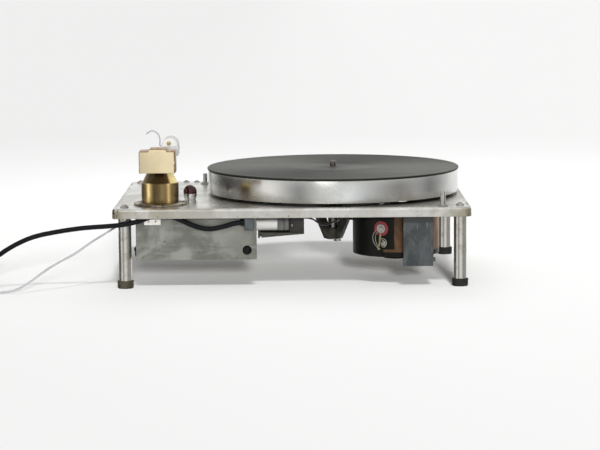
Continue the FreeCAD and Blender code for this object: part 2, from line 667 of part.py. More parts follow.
def counterweight():
    """A brass block with a raised middle, fixed to the rear end of the beam."""
    left, right = -171.5, -130.7
    bottom, shoulder, crown = 132.2, 157.0, 159.7
    outline = [(left, WEIGHT_REAR, bottom), (right, WEIGHT_REAR, bottom), (right, WEIGHT_REAR, shoulder),
               (-139.5, WEIGHT_REAR, shoulder), (-142.0, WEIGHT_REAR, crown),
               (-159.0, WEIGHT_REAR, crown), (-161.5, WEIGHT_REAR, shoulder), (left, WEIGHT_REAR, shoulder)]
    return prism(outline, V(0, WEIGHT_FRONT - WEIGHT_REAR, 0))


HEAD_X = -152.2
HEAD_RADIUS = 10.3
HEAD_REAR = 109.2
HEAD_FRONT = 145.0
HEAD_BOTTOM = 127.5
HEAD_TOP = 150.0
HEAD_WALL = 1.6


def arch(x, y0, y1, bottom, top, radius):
    """An upright slab with a half-round top, as long as y1 - y0."""
    centre = top - radius
    slab = block(x - radius, x + radius, y0, y1, bottom, centre)
    return slab.fuse(Part.makeCylinder(radius, y1 - y0, V(x, y0, centre), V(0, 1, 0)))


def headshell():
    shell = arch(HEAD_X, HEAD_REAR, HEAD_FRONT, HEAD_BOTTOM, HEAD_TOP, HEAD_RADIUS)
    hollow = arch(HEAD_X, HEAD_REAR + 2.5, HEAD_FRONT - HEAD_WALL, HEAD_BOTTOM - 1,
                  HEAD_TOP - HEAD_WALL, HEAD_RADIUS - HEAD_WALL)
    return shell.cut(hollow)


def cartridge():
    inside = HEAD_RADIUS - HEAD_WALL
    body = block(HEAD_X - 8.5, HEAD_X + 8.5, 115.0, 141.0, 129.5, 137.5)
    stem = block(HEAD_X - inside, HEAD_X + inside, 119.0, 137.0, 137.5, HEAD_TOP - HEAD_RADIUS)
    tip_y = ARM_Y + STYLUS_REACH
    lever = prism([(HEAD_X - 0.6, 128.0, 129.6), (HEAD_X - 0.6, tip_y, 127.3), (HEAD_X - 0.6, tip_y, 128.3),
                   (HEAD_X - 0.6, 128.0, 130.6)], V(1.2, 0, 0))
    tip = cone(HEAD_X, tip_y - 0.6, STYLUS_Z, 127.8, 0.1, 0.5)
    return body.fuse(stem).fuse(lever).fuse(tip)


LIFT_ROUTE = [(0.0, 139.4), (-2.2, 139.4), (-2.0, 143.0), (-1.8, 148.5), (-3.4, 154.0),
              (-8.4, 158.2), (-14.0, 158.8), (-18.6, 154.6)]
LIFT_Y = 115.0


def finger_lift():
    """A thin wire from the side of the head, up and over in an arc."""
    side = HEAD_X - HEAD_RADIUS
    path, _ = route_wire([(side + x, LIFT_Y, z) for x, z in LIFT_ROUTE])
    return path_tube(path, 0.75)


def path_tube(path, radius):
    start = path.Edges[0]
    tangent = start.tangentAt(start.FirstParameter)
    ring = Part.Wire(Part.makeCircle(radius, start.valueAt(start.FirstParameter), tangent))
    return path.makePipeShell([ring], True, False, 1)


def arm_rest():
    """A white rest under the beam, with a low lip outside it."""
    top = 129.2
    post = block(-162.5, -149.0, ARM_REST_Y - 4, ARM_REST_Y + 4, PLATE_TOP, top)
    lip = block(-166.0, -162.5, ARM_REST_Y - 4, ARM_REST_Y + 4, 118.0, 134.0)
    return post.fuse(lip)


# ---------------------------------------------------------------- leads
def route_wire(points):
    """Straight runs joined by tangent arcs, each as large as its two runs allow."""
    places = [V(*p) for p in points]
    edges = []
    radii = []
    start = places[0]
    for before, corner, after in zip(places, places[1:], places[2:]):
        incoming = corner - before
        outgoing = after - corner
        turn = incoming.getAngle(outgoing)
        setback = 0.45 * min(incoming.Length, outgoing.Length)
        radius = setback / math.tan(turn / 2)
        radii.append(radius)
        incoming.normalize()
        outgoing.normalize()
        arc_start = corner - incoming * setback
        arc_end = corner + outgoing * setback
        inward = outgoing - incoming
        inward.normalize()
        centre = corner + inward * math.hypot(radius, setback)
        middle = centre - inward * radius
        edges.append(Part.LineSegment(start, arc_start).toShape())
        edges.append(Part.Arc(arc_start, middle, arc_end).toShape())
        start = arc_end
    edges.append(Part.LineSegment(start, places[-1]).toShape())
    return Part.Wire(edges), radii


def lead(name, points, diameter):
    wire, radii = route_wire(points)
    solid = path_tube(wire, diameter / 2)
    ideal = math.pi * diameter ** 2 / 4 * wire.Length
    print(name, "length %.0f" % wire.Length, "volume/ideal %.4f" % (solid.Volume / ideal),
          "radii", [round(r) for r in radii])
    return solid


MAINS_DIAMETER = 5.5
MAINS_COIL = (-383.0, -118.0)
MAINS_COIL_MEAN = 31.0
MAINS_COLUMNS = 2
MAINS_LAYERS = 5
MAINS_ROUTE = [
    (-53.6, CORD_Y, CORD_Z),
    (-63.0, CORD_Y, CORD_Z),
    (-78.0, CORD_Y, 70.6),
    (-94.0, CORD_Y, 67.8),
    (-110.0, CORD_Y, 71.5),
    (-126.0, CORD_Y - 0.2, 79.5),
    (-142.0, CORD_Y - 0.2, 85.0),
    (-156.0, CORD_Y - 0.2, 84.6),
    (-171.0, CORD_Y - 0.4, 78.2),
    (-187.0, CORD_Y - 0.8, 74.4),
    (-204.0, CORD_Y - 1.0, 72.8),
    (-221.0, CORD_Y - 0.6, 71.8),
    (-240.0, CORD_Y, 70.4),
    (-266.0, CORD_Y, 66.6),
    (-292.0, CORD_Y, 61.6),
    (-313.0, CORD_Y, 52.4),
    (-331.0, CORD_Y, 41.4),
    (-347.0, CORD_Y, 27.5),
    (-362.0, CORD_Y + 0.2, 11.0),
    (MAINS_COIL[0], MAINS_COIL[1] - MAINS_COIL_MEAN, 2.8),
]
SIGNAL_DIAMETER = 2.4
SIGNAL_COIL = (-346.0, -190.0)
SIGNAL_COIL_MEAN = 14.0
SIGNAL_COLUMNS = 3
SIGNAL_LAYERS = 4
SIGNAL_EXIT = (BOX_LEFT, -124.0, 75.0)
SIGNAL_ROUTE = [
    SIGNAL_EXIT,
    (-188.5, -124.0, 75.0),
    (-201.0, -125.6, 68.6),
    (-215.0, -134.5, 60.6),
    (-229.5, -143.5, 52.6),
    (-245.0, -152.0, 41.8),
    (-262.0, -160.0, 33.8),
    (-279.0, -166.0, 24.2),
    (-295.0, -171.0, 12.0),
    (-310.0, -175.0, 3.8),
    (-327.0, -176.5, 1.3),
    (SIGNAL_COIL[0], SIGNAL_COIL[1] + SIGNAL_COIL_MEAN, 1.3),
]


def coil_ring(centre, mean, diameter, columns, layers):
    """The outer shape of a wound coil: a ring with rounded edges."""
    half = columns * diameter / 2
    height = layers * diameter
    x, y = centre
    ring = tube(x, y, 0.0, height, mean + half, mean - half)
    return ring.makeFillet(diameter * 0.35, [e for e in ring.Edges if len(e.Vertexes) == 1])


def mains_plug():
    """A plain two-pin plug lying on the front of the coil, pointing towards +X."""
    half_height, half_width = 7.0, 9.5
    x = MAINS_COIL[0] - 8.0
    y = MAINS_COIL[1] + MAINS_COIL_MEAN
    z = MAINS_LAYERS * MAINS_DIAMETER + half_height
    body = block(x, x + 30, y - half_width, y + half_width, z - half_height, z + half_height)
    body = rounded(body, 4.0, V(1, 0, 0))
    pins = [Part.makeCylinder(2.0, 19.0, V(x + 30, y + side * 6.0, z), V(1, 0, 0)) for side in (-1, 1)]
    return group([body] + pins)


def signal_plug():
    """A small round plug lying on the front of the signal lead's coil, pointing towards -X."""
    radius = 4.6
    start = V(SIGNAL_COIL[0] + 4.0, SIGNAL_COIL[1] + SIGNAL_COIL_MEAN, SIGNAL_LAYERS * SIGNAL_DIAMETER + radius)
    away = V(-1, 0, 0)
    barrel = Part.makeCylinder(radius, 20.0, start, away)
    shell = Part.makeCylinder(radius - 0.5, 5.0, start + away * 20, away)
    pin = Part.makeCylinder(1.6, 5.0, start + away * 25, away)
    return barrel.fuse(shell).fuse(pin)


WIRE_RUNS = {
    "switch": [(13.8, -116.0, 76.0), (21.0, -116.0, 76.0), (29.0, -111.5, 71.5), (36.0, -101.0, 67.0),
               (44.0, -88.0, 66.0), (53.0, -74.0, 68.0), (63.0, -62.0, 73.0), (72.0, -52.0, 79.0)],
    "motor": [(72.0, -58.0, 80.0), (66.0, -66.0, 75.0), (62.0, -76.0, 72.0), (64.0, -87.0, 71.0),
              (70.3, -95.0, 71.5)],
}
WIRE_RADIUS = 0.9


def hookup_wires():
    solids = []
    for name, points in WIRE_RUNS.items():
        solids.append(lead(name + " wire", points, 2 * WIRE_RADIUS))
    return group(solids)


# ---------------------------------------------------------------- every node
NODES = {
    "chassis_plate": chassis_plate,
    "panel_screws": panel_screws,
    "legs": legs,
    "leg_cap_screws": leg_cap_screws,
    "platter": platter,
    "platter_mat": platter_mat,
    "spindle": spindle,
    "bearing_housing": bearing_housing,
    "bearing_bushes": bearing_bushes,
    "thrust_ball": thrust_ball,
    "bearing_end_nut": bearing_end_nut,
    "bearing_spider": bearing_spider,
    "motor_can": motor_can,
    "motor_housing": motor_housing,
    "motor_base": motor_base,
    "motor_stator": motor_stator,
    "motor_coils": motor_coils,
    "motor_rotor": motor_rotor,
    "motor_shaft": motor_shaft,
    "idler_lever": idler_lever,
    "idler_wheel": idler_wheel,
    "idler_tyre": idler_tyre,
    "junction_box": junction_box,
    "red_washer": red_washer,
    "earth_terminals": earth_terminals,
    "preamp_box": preamp_box,
    "transformer": transformer,
    "tag_board": tag_board,
    "box_plugs": box_plugs,
    "terminal_block": terminal_block,
    "cable_clamp": cable_clamp,
    "run_capacitor": run_capacitor,
    "microswitch": microswitch,
    "switch_bracket": switch_bracket,
    "lamp_bezel": lamp_bezel,
    "lamp_jewel": lamp_jewel,
    "rotary_switch": rotary_switch,
    "spindle_bushes": spindle_bushes,
    "switch_spindle": lambda: control_spindle(SWITCH_SPINDLE, 2.7, 78.0, 105.5),
    "speed_spindle": lambda: control_spindle(SPEED_SPINDLE, 3.15, 82.0, 110.0),
    "arm_base_flange": arm_base_flange,
    "arm_pillar": arm_pillar,
    "arm_yoke": arm_yoke,
    "arm_beam": arm_beam,
    "counterweight": counterweight,
    "headshell": headshell,
    "cartridge": cartridge,
    "finger_lift": finger_lift,
    "arm_rest": arm_rest,
    "hookup_wires": hookup_wires,
    "mains_lead": lambda: lead("mains lead", MAINS_ROUTE, MAINS_DIAMETER),
    "mains_coil": lambda: coil_ring(MAINS_COIL, MAINS_COIL_MEAN, MAINS_DIAMETER, MAINS_COLUMNS, MAINS_LAYERS),
    "mains_plug": mains_plug,
    "signal_lead": lambda: lead("signal lead", SIGNAL_ROUTE, SIGNAL_DIAMETER),
    "signal_coil": lambda: coil_ring(SIGNAL_COIL, SIGNAL_COIL_MEAN, SIGNAL_DIAMETER,
                                     SIGNAL_COLUMNS, SIGNAL_LAYERS),
    "signal_plug": signal_plug,
}

os.makedirs("parts", exist_ok=True)
for name, build in NODES.items():
    shape = build()
    print(name, "valid", shape.isValid(), "solids", len(shape.Solids), "cm3 %.2f" % (shape.Volume / 1000))
    shape.exportStep("parts/%s.step" % name)
for place, (leg_x, leg_y) in LEG_POSITIONS.items():
    foot(leg_x, leg_y).exportStep("parts/foot_%s.step" % place)
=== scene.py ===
# %% [markdown]
# # A bare-chassis record player
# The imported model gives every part's place and the joints between them. This script
# dresses that frame: it keeps the CAD parts whose shape is already right, replaces the
# ones that need finer shape, and gives each surface a procedural finish.

import math

import bmesh
import bpy
from mathutils import Matrix, Vector


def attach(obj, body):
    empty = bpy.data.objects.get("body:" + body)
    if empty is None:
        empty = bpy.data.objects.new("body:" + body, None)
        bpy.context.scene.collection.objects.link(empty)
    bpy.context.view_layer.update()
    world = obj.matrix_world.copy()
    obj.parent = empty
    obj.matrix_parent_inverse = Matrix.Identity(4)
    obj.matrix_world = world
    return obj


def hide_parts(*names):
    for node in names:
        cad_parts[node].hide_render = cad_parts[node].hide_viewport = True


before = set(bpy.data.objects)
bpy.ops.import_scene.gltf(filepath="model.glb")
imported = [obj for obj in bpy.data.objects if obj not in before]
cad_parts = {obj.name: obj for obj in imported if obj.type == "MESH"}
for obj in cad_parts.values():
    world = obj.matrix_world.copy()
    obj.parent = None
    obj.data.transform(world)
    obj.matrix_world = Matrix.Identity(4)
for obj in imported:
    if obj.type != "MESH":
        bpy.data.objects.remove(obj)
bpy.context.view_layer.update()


def stand(name, data):
    """Put new data into the scene, as an object at the origin."""
    made = bpy.data.objects.new(name, data)
    bpy.context.scene.collection.objects.link(made)
    return made


MM = 0.001
PLATTER = (49.0, 5.0)
ARM = (-151.0, -107.0)
PLATE_TOP, PLATE_UNDER, MAT_TOP = 92.0, 90.5, 124.0

# %% [markdown]
# ## Camera
# The player is seen from its rear, a little above the plate, through a long lens from
# two and a half metres away, so that its upright edges stay upright. The camera is
# tilted down by seven degrees and rolled by less than half a degree.

# %% Camera
LENS_MM = 131.05
lens = bpy.data.cameras.new("camera")
lens.lens = LENS_MM
lens.sensor_width = 36
lens.clip_end = 200
camera = stand("camera", lens)
CAMERA_PLACE = (0.00917, -2.5971, 0.3808)
CAMERA_DIP = math.radians(7.185)
CAMERA_ROLL = -0.0077
camera.matrix_world = (Matrix.Translation(CAMERA_PLACE)
                       @ Matrix.Rotation(math.pi / 2 - CAMERA_DIP, 4, "X")
                       @ Matrix.Rotation(CAMERA_ROLL, 4, "Z"))
bpy.context.scene.camera = camera
print("camera", CAMERA_PLACE, "dip", round(math.degrees(CAMERA_DIP), 2))

# %% [markdown]
# ## The two leads
# A thick black mains lead leaves a clamp on the power box and a thin pale signal lead
# leaves the box's end. Each is one NURBS curve from its exit to its plug: the visible
# run first, then the spare length wound into a neat coil. The run's control points are
# the corners of the route that the CAD lead follows.
#
# A wound coil is filled spot by spot. A spot is one place in the bundle's section, and
# the cord stays on it for most of a turn, then slides to the next one over a quarter
# turn or less. Because every spot lasts less than a full turn, the place where the cord
# slides is always free, and no turn passes through another.

# %% Winding a coil
TURN_POINTS = 16


def section_spots(mean, diameter, columns, layers):
    """The places in a bundle's section, as (radius, height), back and forth by layer."""
    spots = []
    for layer in range(layers):
        across = [mean + (columns - 1) * diameter / 2 - i * diameter for i in range(columns)]
        if layer % 2:
            across.reverse()
        spots += [(radius, (layer + 0.5) * diameter) for radius in across]
    return spots


def wound(centre, spots, start, direction, dwell, window, trim):
    """Control points of a cord that dwells on each spot in turn. Angles in degrees."""
    step = 360 / TURN_POINTS
    bulge = 1 / math.cos(math.pi / TURN_POINTS)
    total = dwell * (len(spots) - 1) - trim
    points = []
    for i in range(1, int(total / step) + 1):
        swept = i * step
        k = min(int(swept / dwell), len(spots) - 2)
        slide = min(1, max(0, (swept - dwell * (k + 1) + window) / window))
        slide = slide * slide * (3 - 2 * slide)
        radius, height = (a + (b - a) * slide for a, b in zip(spots[k], spots[k + 1]))
        angle = math.radians(start + direction * swept)
        points.append((centre[0] + radius * bulge * math.cos(angle),
                       centre[1] + radius * bulge * math.sin(angle), height))
    return points


def cord_curve(name, points, diameter, smoothness=6):
    """One smooth NURBS tube through its control points, given in millimetres."""
    curve = bpy.data.curves.new(name, "CURVE")
    curve.dimensions = "3D"
    curve.bevel_depth = diameter / 2 * MM
    curve.bevel_resolution = 5
    curve.use_fill_caps = True
    spline = curve.splines.new("NURBS")
    spline.points.add(len(points) - 1)
    for point, (x, y, z) in zip(spline.points, points):
        point.co = (x * MM, y * MM, z * MM, 1)
    spline.order_u = 3
    spline.use_endpoint_u = True
    spline.resolution_u = smoothness
    made = stand(name, curve)
    print(name, "control points", len(points), "length mm %.0f" % (spline.calc_length() * 1000))
    return made


# %% The mains lead
MAINS_DIAMETER = 5.5
MAINS_COIL = (-383.0, -118.0)
MAINS_MEAN = 31.0
CORD_Y = -149.4
MAINS_EXIT = (-53.6, CORD_Y, 75.6)
MAINS_RUN = [
    MAINS_EXIT, (-63, CORD_Y, 75.6), (-78, CORD_Y, 70.6), (-94, CORD_Y, 67.8),
    (-110, CORD_Y, 71.5), (-126, CORD_Y - 0.2, 79.5), (-142, CORD_Y - 0.2, 85),
    (-156, CORD_Y - 0.2, 84.6), (-171, CORD_Y - 0.4, 78.2), (-187, CORD_Y - 0.8, 74.4),
    (-204, CORD_Y - 1, 72.8), (-221, CORD_Y - 0.6, 71.8), (-240, CORD_Y, 70.4),
    (-266, CORD_Y, 66.6),
    (-292, CORD_Y, 61.6), (-313, CORD_Y, 52.4), (-331, CORD_Y, 41.4),
    (-347, CORD_Y - 0.4, 27.5), (-362, CORD_Y - 1.4, 11), (-383, -151.8, 2.8),
]
mains_spots = section_spots(MAINS_MEAN, MAINS_DIAMETER, 2, 5) + [(MAINS_MEAN, 34.5)]
mains_points = MAINS_RUN + wound(MAINS_COIL, mains_spots, 270, -1, 270, 90, 22)
mains_points += [(-391.0, -87.0, 34.5), (-386.0, -87.0, 34.5)]
mains_lead = cord_curve("mains_lead_wound", mains_points, MAINS_DIAMETER)

# %% The signal lead
SIGNAL_DIAMETER = 2.4
SIGNAL_COIL = (-346.0, -190.0)
SIGNAL_MEAN = 14.0
SIGNAL_EXIT = (-176.8, -124.0, 75.0)
SIGNAL_RUN = [
    SIGNAL_EXIT, (-188.5, -124, 75), (-201, -125.6, 68.6), (-215, -134.5, 60.6),
    (-229.5, -143.5, 52.6), (-245, -152, 41.8), (-262, -160, 33.8), (-279, -166, 24.2),
    (-295, -171, 12), (-310, -174, 3.8), (-327, -173.8, 1.3), (-346, -173.6, 1.3),
]
signal_spots = section_spots(SIGNAL_MEAN, SIGNAL_DIAMETER, 3, 4) + [(SIGNAL_MEAN, 14.2)]
signal_points = SIGNAL_RUN + wound(SIGNAL_COIL, signal_spots, 90, 1, 300, 60, 26)
signal_points += [(-342.0, -176.0, 14.2), (-347.0, -176.0, 14.2)]
signal_lead = cord_curve("signal_lead_wound", signal_points, SIGNAL_DIAMETER)

# %% [markdown]
# ## A small language for finishes
# Every finish is built from nodes. `Val` stands for one number that varies over the
# surface, so that its maths can be written as ordinary expressions. `Nodes` adds any
# other node through one method: its type, its settings, and what goes into its sockets.

# %% Values and nodes
class Val:
    """One value in a node tree. Arithmetic on it adds the Math nodes."""

    def __init__(self, nodes, socket):
        self.nodes, self.socket = nodes, socket

    def math(self, operation, *values):
        return self.nodes.add("ShaderNodeMath", {"operation": operation}, dict(enumerate(values)))

    def __add__(self, other):
        return self.math("ADD", self, other)

    def __sub__(self, other):
        return self.math("SUBTRACT", self, other)

    def __rsub__(self, other):
        return self.math("SUBTRACT", other, self)

    def __mul__(self, other):
        return self.math("MULTIPLY", self, other)

    def __truediv__(self, other):
        return self.math("DIVIDE", self, other)

    def __pow__(self, other):
        return self.math("POWER", self, other)

    __radd__ = __add__
    __rmul__ = __mul__

    def most(self, other):
        return self.math("MAXIMUM", self, other)

    def step(self, low, high):
        """0 below low, 1 above high, and a smooth rise between them."""
        return self.nodes.add("ShaderNodeMapRange", {"interpolation_type": "SMOOTHSTEP"},
                              {"Value": self, "From Min": low, "From Max": high})

    def between(self, low, high, soft):
        """1 where the value is from low to high, and 0 outside."""
        return self.step(low - soft, low + soft) * (1 - self.step(high - soft, high + soft))


class Nodes:
    """A node tree that is filled from Python."""

    def __init__(self, tree):
        self.tree = tree
        tree.nodes.clear()

    def add(self, kind, settings=None, inputs=None, out=0):
        node = self.tree.nodes.new(kind)
        for key, value in (settings or {}).items():
            if key == "stops":
                ramp = node.color_ramp
                while len(ramp.elements) < len(value):
                    ramp.elements.new(0.5)
                for element, (place, colour) in zip(ramp.elements, value):
                    element.position = place
                    element.color = (*colour, 1)
            else:
                setattr(node, key, value)
        for key, value in (inputs or {}).items():
            if isinstance(value, Val):
                self.tree.links.new(value.socket, node.inputs[key])
            else:
                socket = node.inputs[key]
                socket.default_value = (*value, 1) if socket.type == "RGBA" else value
        return Val(self, node.outputs[out]) if node.outputs else None

    def mix(self, first, second, share):
        """Blend two colours."""
        return self.add("ShaderNodeMix", {"data_type": "RGBA"}, {0: share, 6: first, 7: second}, 2)

    def bearing(self, east, north):
        """A bearing about Z from 0 to 1; 0.5 is the rear of the player, on -Y."""
        angle = self.add("ShaderNodeMath", {"operation": "ARCTAN2"}, {0: east, 1: 0 - north})
        return angle / (2 * math.pi) + 0.5

    def parts(self, vector):
        """The x, y and z of a vector."""
        node = self.add("ShaderNodeSeparateXYZ", None, {0: vector}).socket.node
        return [Val(self, node.outputs[i]) for i in range(3)]


def tint(red, green, blue):
    """A colour from the 0 to 255 numbers of a paint chart."""
    line = [c / 255 for c in (red, green, blue)]
    return tuple(c / 12.92 if c <= 0.04045 else ((c + 0.055) / 1.055) ** 2.4 for c in line)


# %% [markdown]
# `Finish` adds what most surfaces here share: a place on the part, clouds of noise,
# scratches, the rounding of sharp CAD edges, and wear on those edges. The Bevel node
# bends the normal near an edge; where that bent normal differs from the flat one, the
# surface is an edge, and edges lose their plating first.

# %% The finish class
FINISHES = {}


class Finish(Nodes):
    """One procedural material."""

    def __init__(self, name, rounding=0.35):
        self.material = bpy.data.materials.new(name)
        self.material.use_nodes = True
        super().__init__(self.material.node_tree)
        self.rounded = self.add("ShaderNodeBevel", {"samples": 4}, {"Radius": rounding * MM})
        FINISHES[name] = self.material

    def place(self, stretch=(1, 1, 1), centre=(0, 0, 0)):
        """Object coordinates, moved so that centre (mm) is the origin, then stretched."""
        spot = self.add("ShaderNodeTexCoord", out="Object")
        return self.add("ShaderNodeMapping", None, {
            "Vector": spot, "Scale": stretch,
            "Location": tuple(-c * MM * s for c, s in zip(centre, stretch))})

    def in_mm(self):
        """Object coordinates as x, y and z in millimetres."""
        return [part * 1000 for part in self.parts(self.place())]

    def turned(self, centre):
        """Coordinates from centre (mm), and the distance from an upright axis through it."""
        x, y, z = self.parts(self.place((1, 1, 1), centre))
        return x, y, z, (x * x + y * y) ** 0.5

    def noise(self, place, scale, detail=4, roughness=0.55, distortion=0):
        return self.add("ShaderNodeTexNoise", None, {
            "Vector": place, "Scale": scale, "Detail": detail, "Roughness": roughness,
            "Distortion": distortion})

    def cells(self, place, scale, feature="F1"):
        return self.add("ShaderNodeTexVoronoi", {"feature": feature},
                        {"Vector": place, "Scale": scale})

    def edge(self):
        """0 on flat ground, rising towards 1 at sharp edges."""
        flat = self.add("ShaderNodeNewGeometry", out="Normal")
        along = self.add("ShaderNodeVectorMath", {"operation": "DOT_PRODUCT"},
                         {0: self.rounded, 1: flat}, "Value")
        return (1 - along).step(0.01, 0.12)

    def bump(self, height, depth):
        """Raise the surface by height (0 to 1) times depth in millimetres."""
        return self.add("ShaderNodeBump", None, {
            "Height": height, "Distance": depth * MM, "Strength": 1, "Normal": self.rounded})

    def coat(self, colour, share):
        """Lay one more colour over those so far; share says where, and how thickly."""
        self.colour = self.mix(self.colour, colour, share)

    def surface(self, roughness, metallic=0.0, normal=None, constants=None):
        """The shader itself. Constants go straight to its own sockets."""
        inputs = {"Base Color": self.colour, "Roughness": roughness, "Metallic": metallic,
                  "Normal": normal or self.rounded}
        inputs.update(constants or {})
        shader = self.add("ShaderNodeBsdfPrincipled", None, inputs)
        self.add("ShaderNodeOutputMaterial", None, {"Surface": shader})
        return self.material


# %% [markdown]
# ## The studio
# Metal shows what surrounds it more than it shows itself, so the room matters as much
# as the finishes. Two soft lamps stand behind the camera: a high one, which throws the
# plate's shadow back under the plate, and a low one, which reaches in beneath it. A wide
# panel beyond the player lightens the ground there. The room adds a weak fill. It is not
# even: bright panels with darker gaps between them give the turned rim of the platter
# its bands. The world shader holds
# them as a ramp round the horizon. Metal sees the panels, matt surfaces see the weak
# fill, and the camera sees plain pale grey. The lamps and the floor are left out of
# glossy reflections, so that polished metal reflects the room's panels at every height.

# %% The room
world = bpy.data.worlds.new("studio")
bpy.context.scene.world = world
world.use_nodes = True
room = Nodes(world.node_tree)
look = room.add("ShaderNodeTexCoord", out="Generated")
east, north, up = room.parts(look)
bearing = room.bearing(east, north)


def panel(degrees, level, warmth=0.0):
    """A stop of the room's ramp: its bearing from the rear, and how bright it is."""
    return (degrees / 360 + 0.5, (level * (1 + warmth), level, level * (1 - warmth)))


horizon = room.add("ShaderNodeValToRGB", {"stops": [
    panel(-180, 0.80), panel(-160, 0.50), panel(-135, 0.13), panel(-115, 0.05),
    panel(-99, 0.09), panel(-82, 0.22, 0.02), panel(-66, 1.00, 0.03), panel(-55, 0.88, 0.02),
    panel(-42, 0.46), panel(-32, 0.26), panel(-22, 0.48), panel(-8, 0.76), panel(14, 0.95, -0.02),
    panel(24, 0.72, -0.02), panel(38, 0.50), panel(52, 0.33, 0.02), panel(63, 0.24, 0.03),
    panel(78, 0.38), panel(88, 0.34), panel(99, 0.20), panel(113, 0.40), panel(135, 0.80),
    panel(155, 0.95)]}, {0: bearing})
high = up.step(0.12, 0.55)
low_sky = up.step(-0.05, 0.06) * (1 - high)
behind = north.step(0.55, 0.95)
sides = room.mix(horizon, (1.0, 1.0, 0.99), behind * low_sky)
shown = room.mix(sides, (0.62, 0.62, 0.615), high)
fill = room.mix((0.05, 0.05, 0.05), (0.34, 0.34, 0.345), high)
# One small bright window, high behind the camera, puts a glint on every polished dome.
toward = room.add("ShaderNodeVectorMath", {"operation": "DOT_PRODUCT"},
                  {0: look, 1: Vector((-0.12, -0.86, 0.50)).normalized()}, "Value")
shown = room.mix(shown, (2.6, 2.6, 2.55), toward.step(0.985, 0.990))
to_matt = room.add("ShaderNodeLightPath", out="Is Diffuse Ray")
to_camera = room.add("ShaderNodeLightPath", out="Is Camera Ray")
seen = room.mix(room.mix(shown, fill, to_matt), (0.93, 0.93, 0.925), to_camera)
room.add("ShaderNodeOutputWorld", None,
         {"Surface": room.add("ShaderNodeBackground", None, {"Color": seen, "Strength": 1.0})})

# Each lamp: its strength, its spread, how high it stands and how far it is to +X of -Y.
LAMPS = {"high_lamp": (1.45, 8, 51, 7), "low_lamp": (4.05, 7, 13, 5)}
for lamp_name, (strength, spread, height, aside) in LAMPS.items():
    lamp = bpy.data.lights.new(lamp_name, "SUN")
    lamp.energy = strength
    lamp.angle = math.radians(spread)
    lamp_object = stand(lamp_name, lamp)
    lamp_object.rotation_euler = (math.radians(90 - height), 0, math.radians(aside))
    lamp_object.visible_glossy = False
glow = bpy.data.lights.new("back_glow", "AREA")
glow.energy = 3.0
glow.size = 0.7
glow_object = stand("back_glow", glow)
glow_object.matrix_world = (Matrix.Translation((0, 0.85, 1.0))
                            @ Matrix.Rotation(math.radians(-40), 4, "X"))
glow_object.visible_glossy = False
glow_object.visible_camera = False
bpy.context.scene.view_settings.view_transform = "Standard"
print("lamps", sorted(LAMPS))

# %% The floor
floor_finish = Finish("studio_floor")
# The floor's colour is painted a little darker towards -X: painted shade for light that is weaker
# on that side.
spread = floor_finish.parts(floor_finish.place())[0]
floor_finish.colour = floor_finish.mix(tint(243, 243, 242), tint(250, 250, 249),
                                       spread.step(-0.5, 0.5))
floor_finish.surface(0.9, constants={"Specular IOR Level": 0.0})
FLOOR_RADIUS = 60
ground = bmesh.new()
bmesh.ops.create_circle(ground, cap_ends=True, segments=64, radius=FLOOR_RADIUS)
floor_mesh = bpy.data.meshes.new("floor")
ground.to_mesh(floor_mesh)
ground.free()
floor = stand("floor", floor_mesh)
floor_mesh.materials.append(floor_finish.material)
floor.visible_glossy = False
print("floor radius m", FLOOR_RADIUS)

# %% [markdown]
# ## Finishes
# The plate, the legs and the power box are old sheet metal that has been handled for
# decades, so each has a base metal, a tarnish that comes in clouds, small dark pits and
# worn edges. One function makes this family. The colours, the size of the clouds and
# the number of pits differ from part to part.

# %% Worn metals
def worn_metal(name, colour, tarnish, rough=(0.25, 0.45), metallic=1.0, cloud=40.0, pits=0.0,
               pit_colour=tint(70, 50, 34), edge_colour=None, stretch=(1, 1, 1), grain=0.03,
               cover=(0.45, 0.7), rounding=0.35):
    """Handled metal: colour clouded by tarnish, with pits, grain and worn edges."""
    f = Finish(name, rounding)
    where = f.place()
    drawn = f.place(stretch)
    clouds = f.noise(where, cloud, 6, 0.62, 0.4).step(*cover)
    streaks = f.noise(drawn, cloud * 9, 4, 0.6)
    f.colour = f.mix(colour, tarnish, clouds * 0.85 + streaks.step(0.5, 0.8) * 0.15)
    roughness = clouds * (rough[1] - rough[0]) + rough[0] + (streaks - 0.5) * 0.12
    metal = 1.0 * metallic
    if edge_colour:
        f.coat(edge_colour, f.edge() * f.noise(where, 260).step(0.38, 0.55))
    if pits:
        spots = f.noise(where, 520, 3, 0.6) * 0.7 + f.noise(where, 95, 3) * 0.3
        spots = spots.step(0.70 - 0.12 * pits, 0.73 - 0.12 * pits)
        f.coat(pit_colour, spots)
        roughness = roughness + spots * 0.35
        metal = metallic - spots * metallic * 0.9
    height = streaks + f.noise(where, 1500, 2) * 0.5
    return f.surface(roughness, metal, f.bump(height, grain))


worn_metal("leg_metal", (0.64, 0.62, 0.57), (0.46, 0.43, 0.36), (0.16, 0.30), 0.95, 70, 0.45,
           tint(92, 70, 46), stretch=(1, 1, 0.5), grain=0.006)
worn_metal("cap_metal", (0.60, 0.59, 0.55), (0.36, 0.34, 0.28), (0.22, 0.4), 1.0, 160, 0.3)
worn_metal("screw_steel", (0.55, 0.55, 0.54), (0.30, 0.27, 0.22), (0.2, 0.45), 1.0, 200, 0.4)
worn_metal("spindle_steel", (0.22, 0.205, 0.18), (0.10, 0.09, 0.075), (0.15, 0.3), 1.0, 120)
worn_metal("bearing_steel", (0.40, 0.40, 0.38), (0.20, 0.19, 0.16), (0.25, 0.5), 1.0, 90, 0.3)
worn_metal("bronze", (0.50, 0.30, 0.14), (0.30, 0.18, 0.09), (0.3, 0.5), 1.0, 120)
worn_metal("stator_steel", (0.28, 0.28, 0.28), (0.12, 0.10, 0.08), (0.35, 0.6), 0.9, 90, 0.3,
           stretch=(0.05, 0.05, 2))
worn_metal("lever_steel", (0.45, 0.45, 0.45), (0.25, 0.22, 0.18), (0.25, 0.5), 1.0, 80, 0.3)
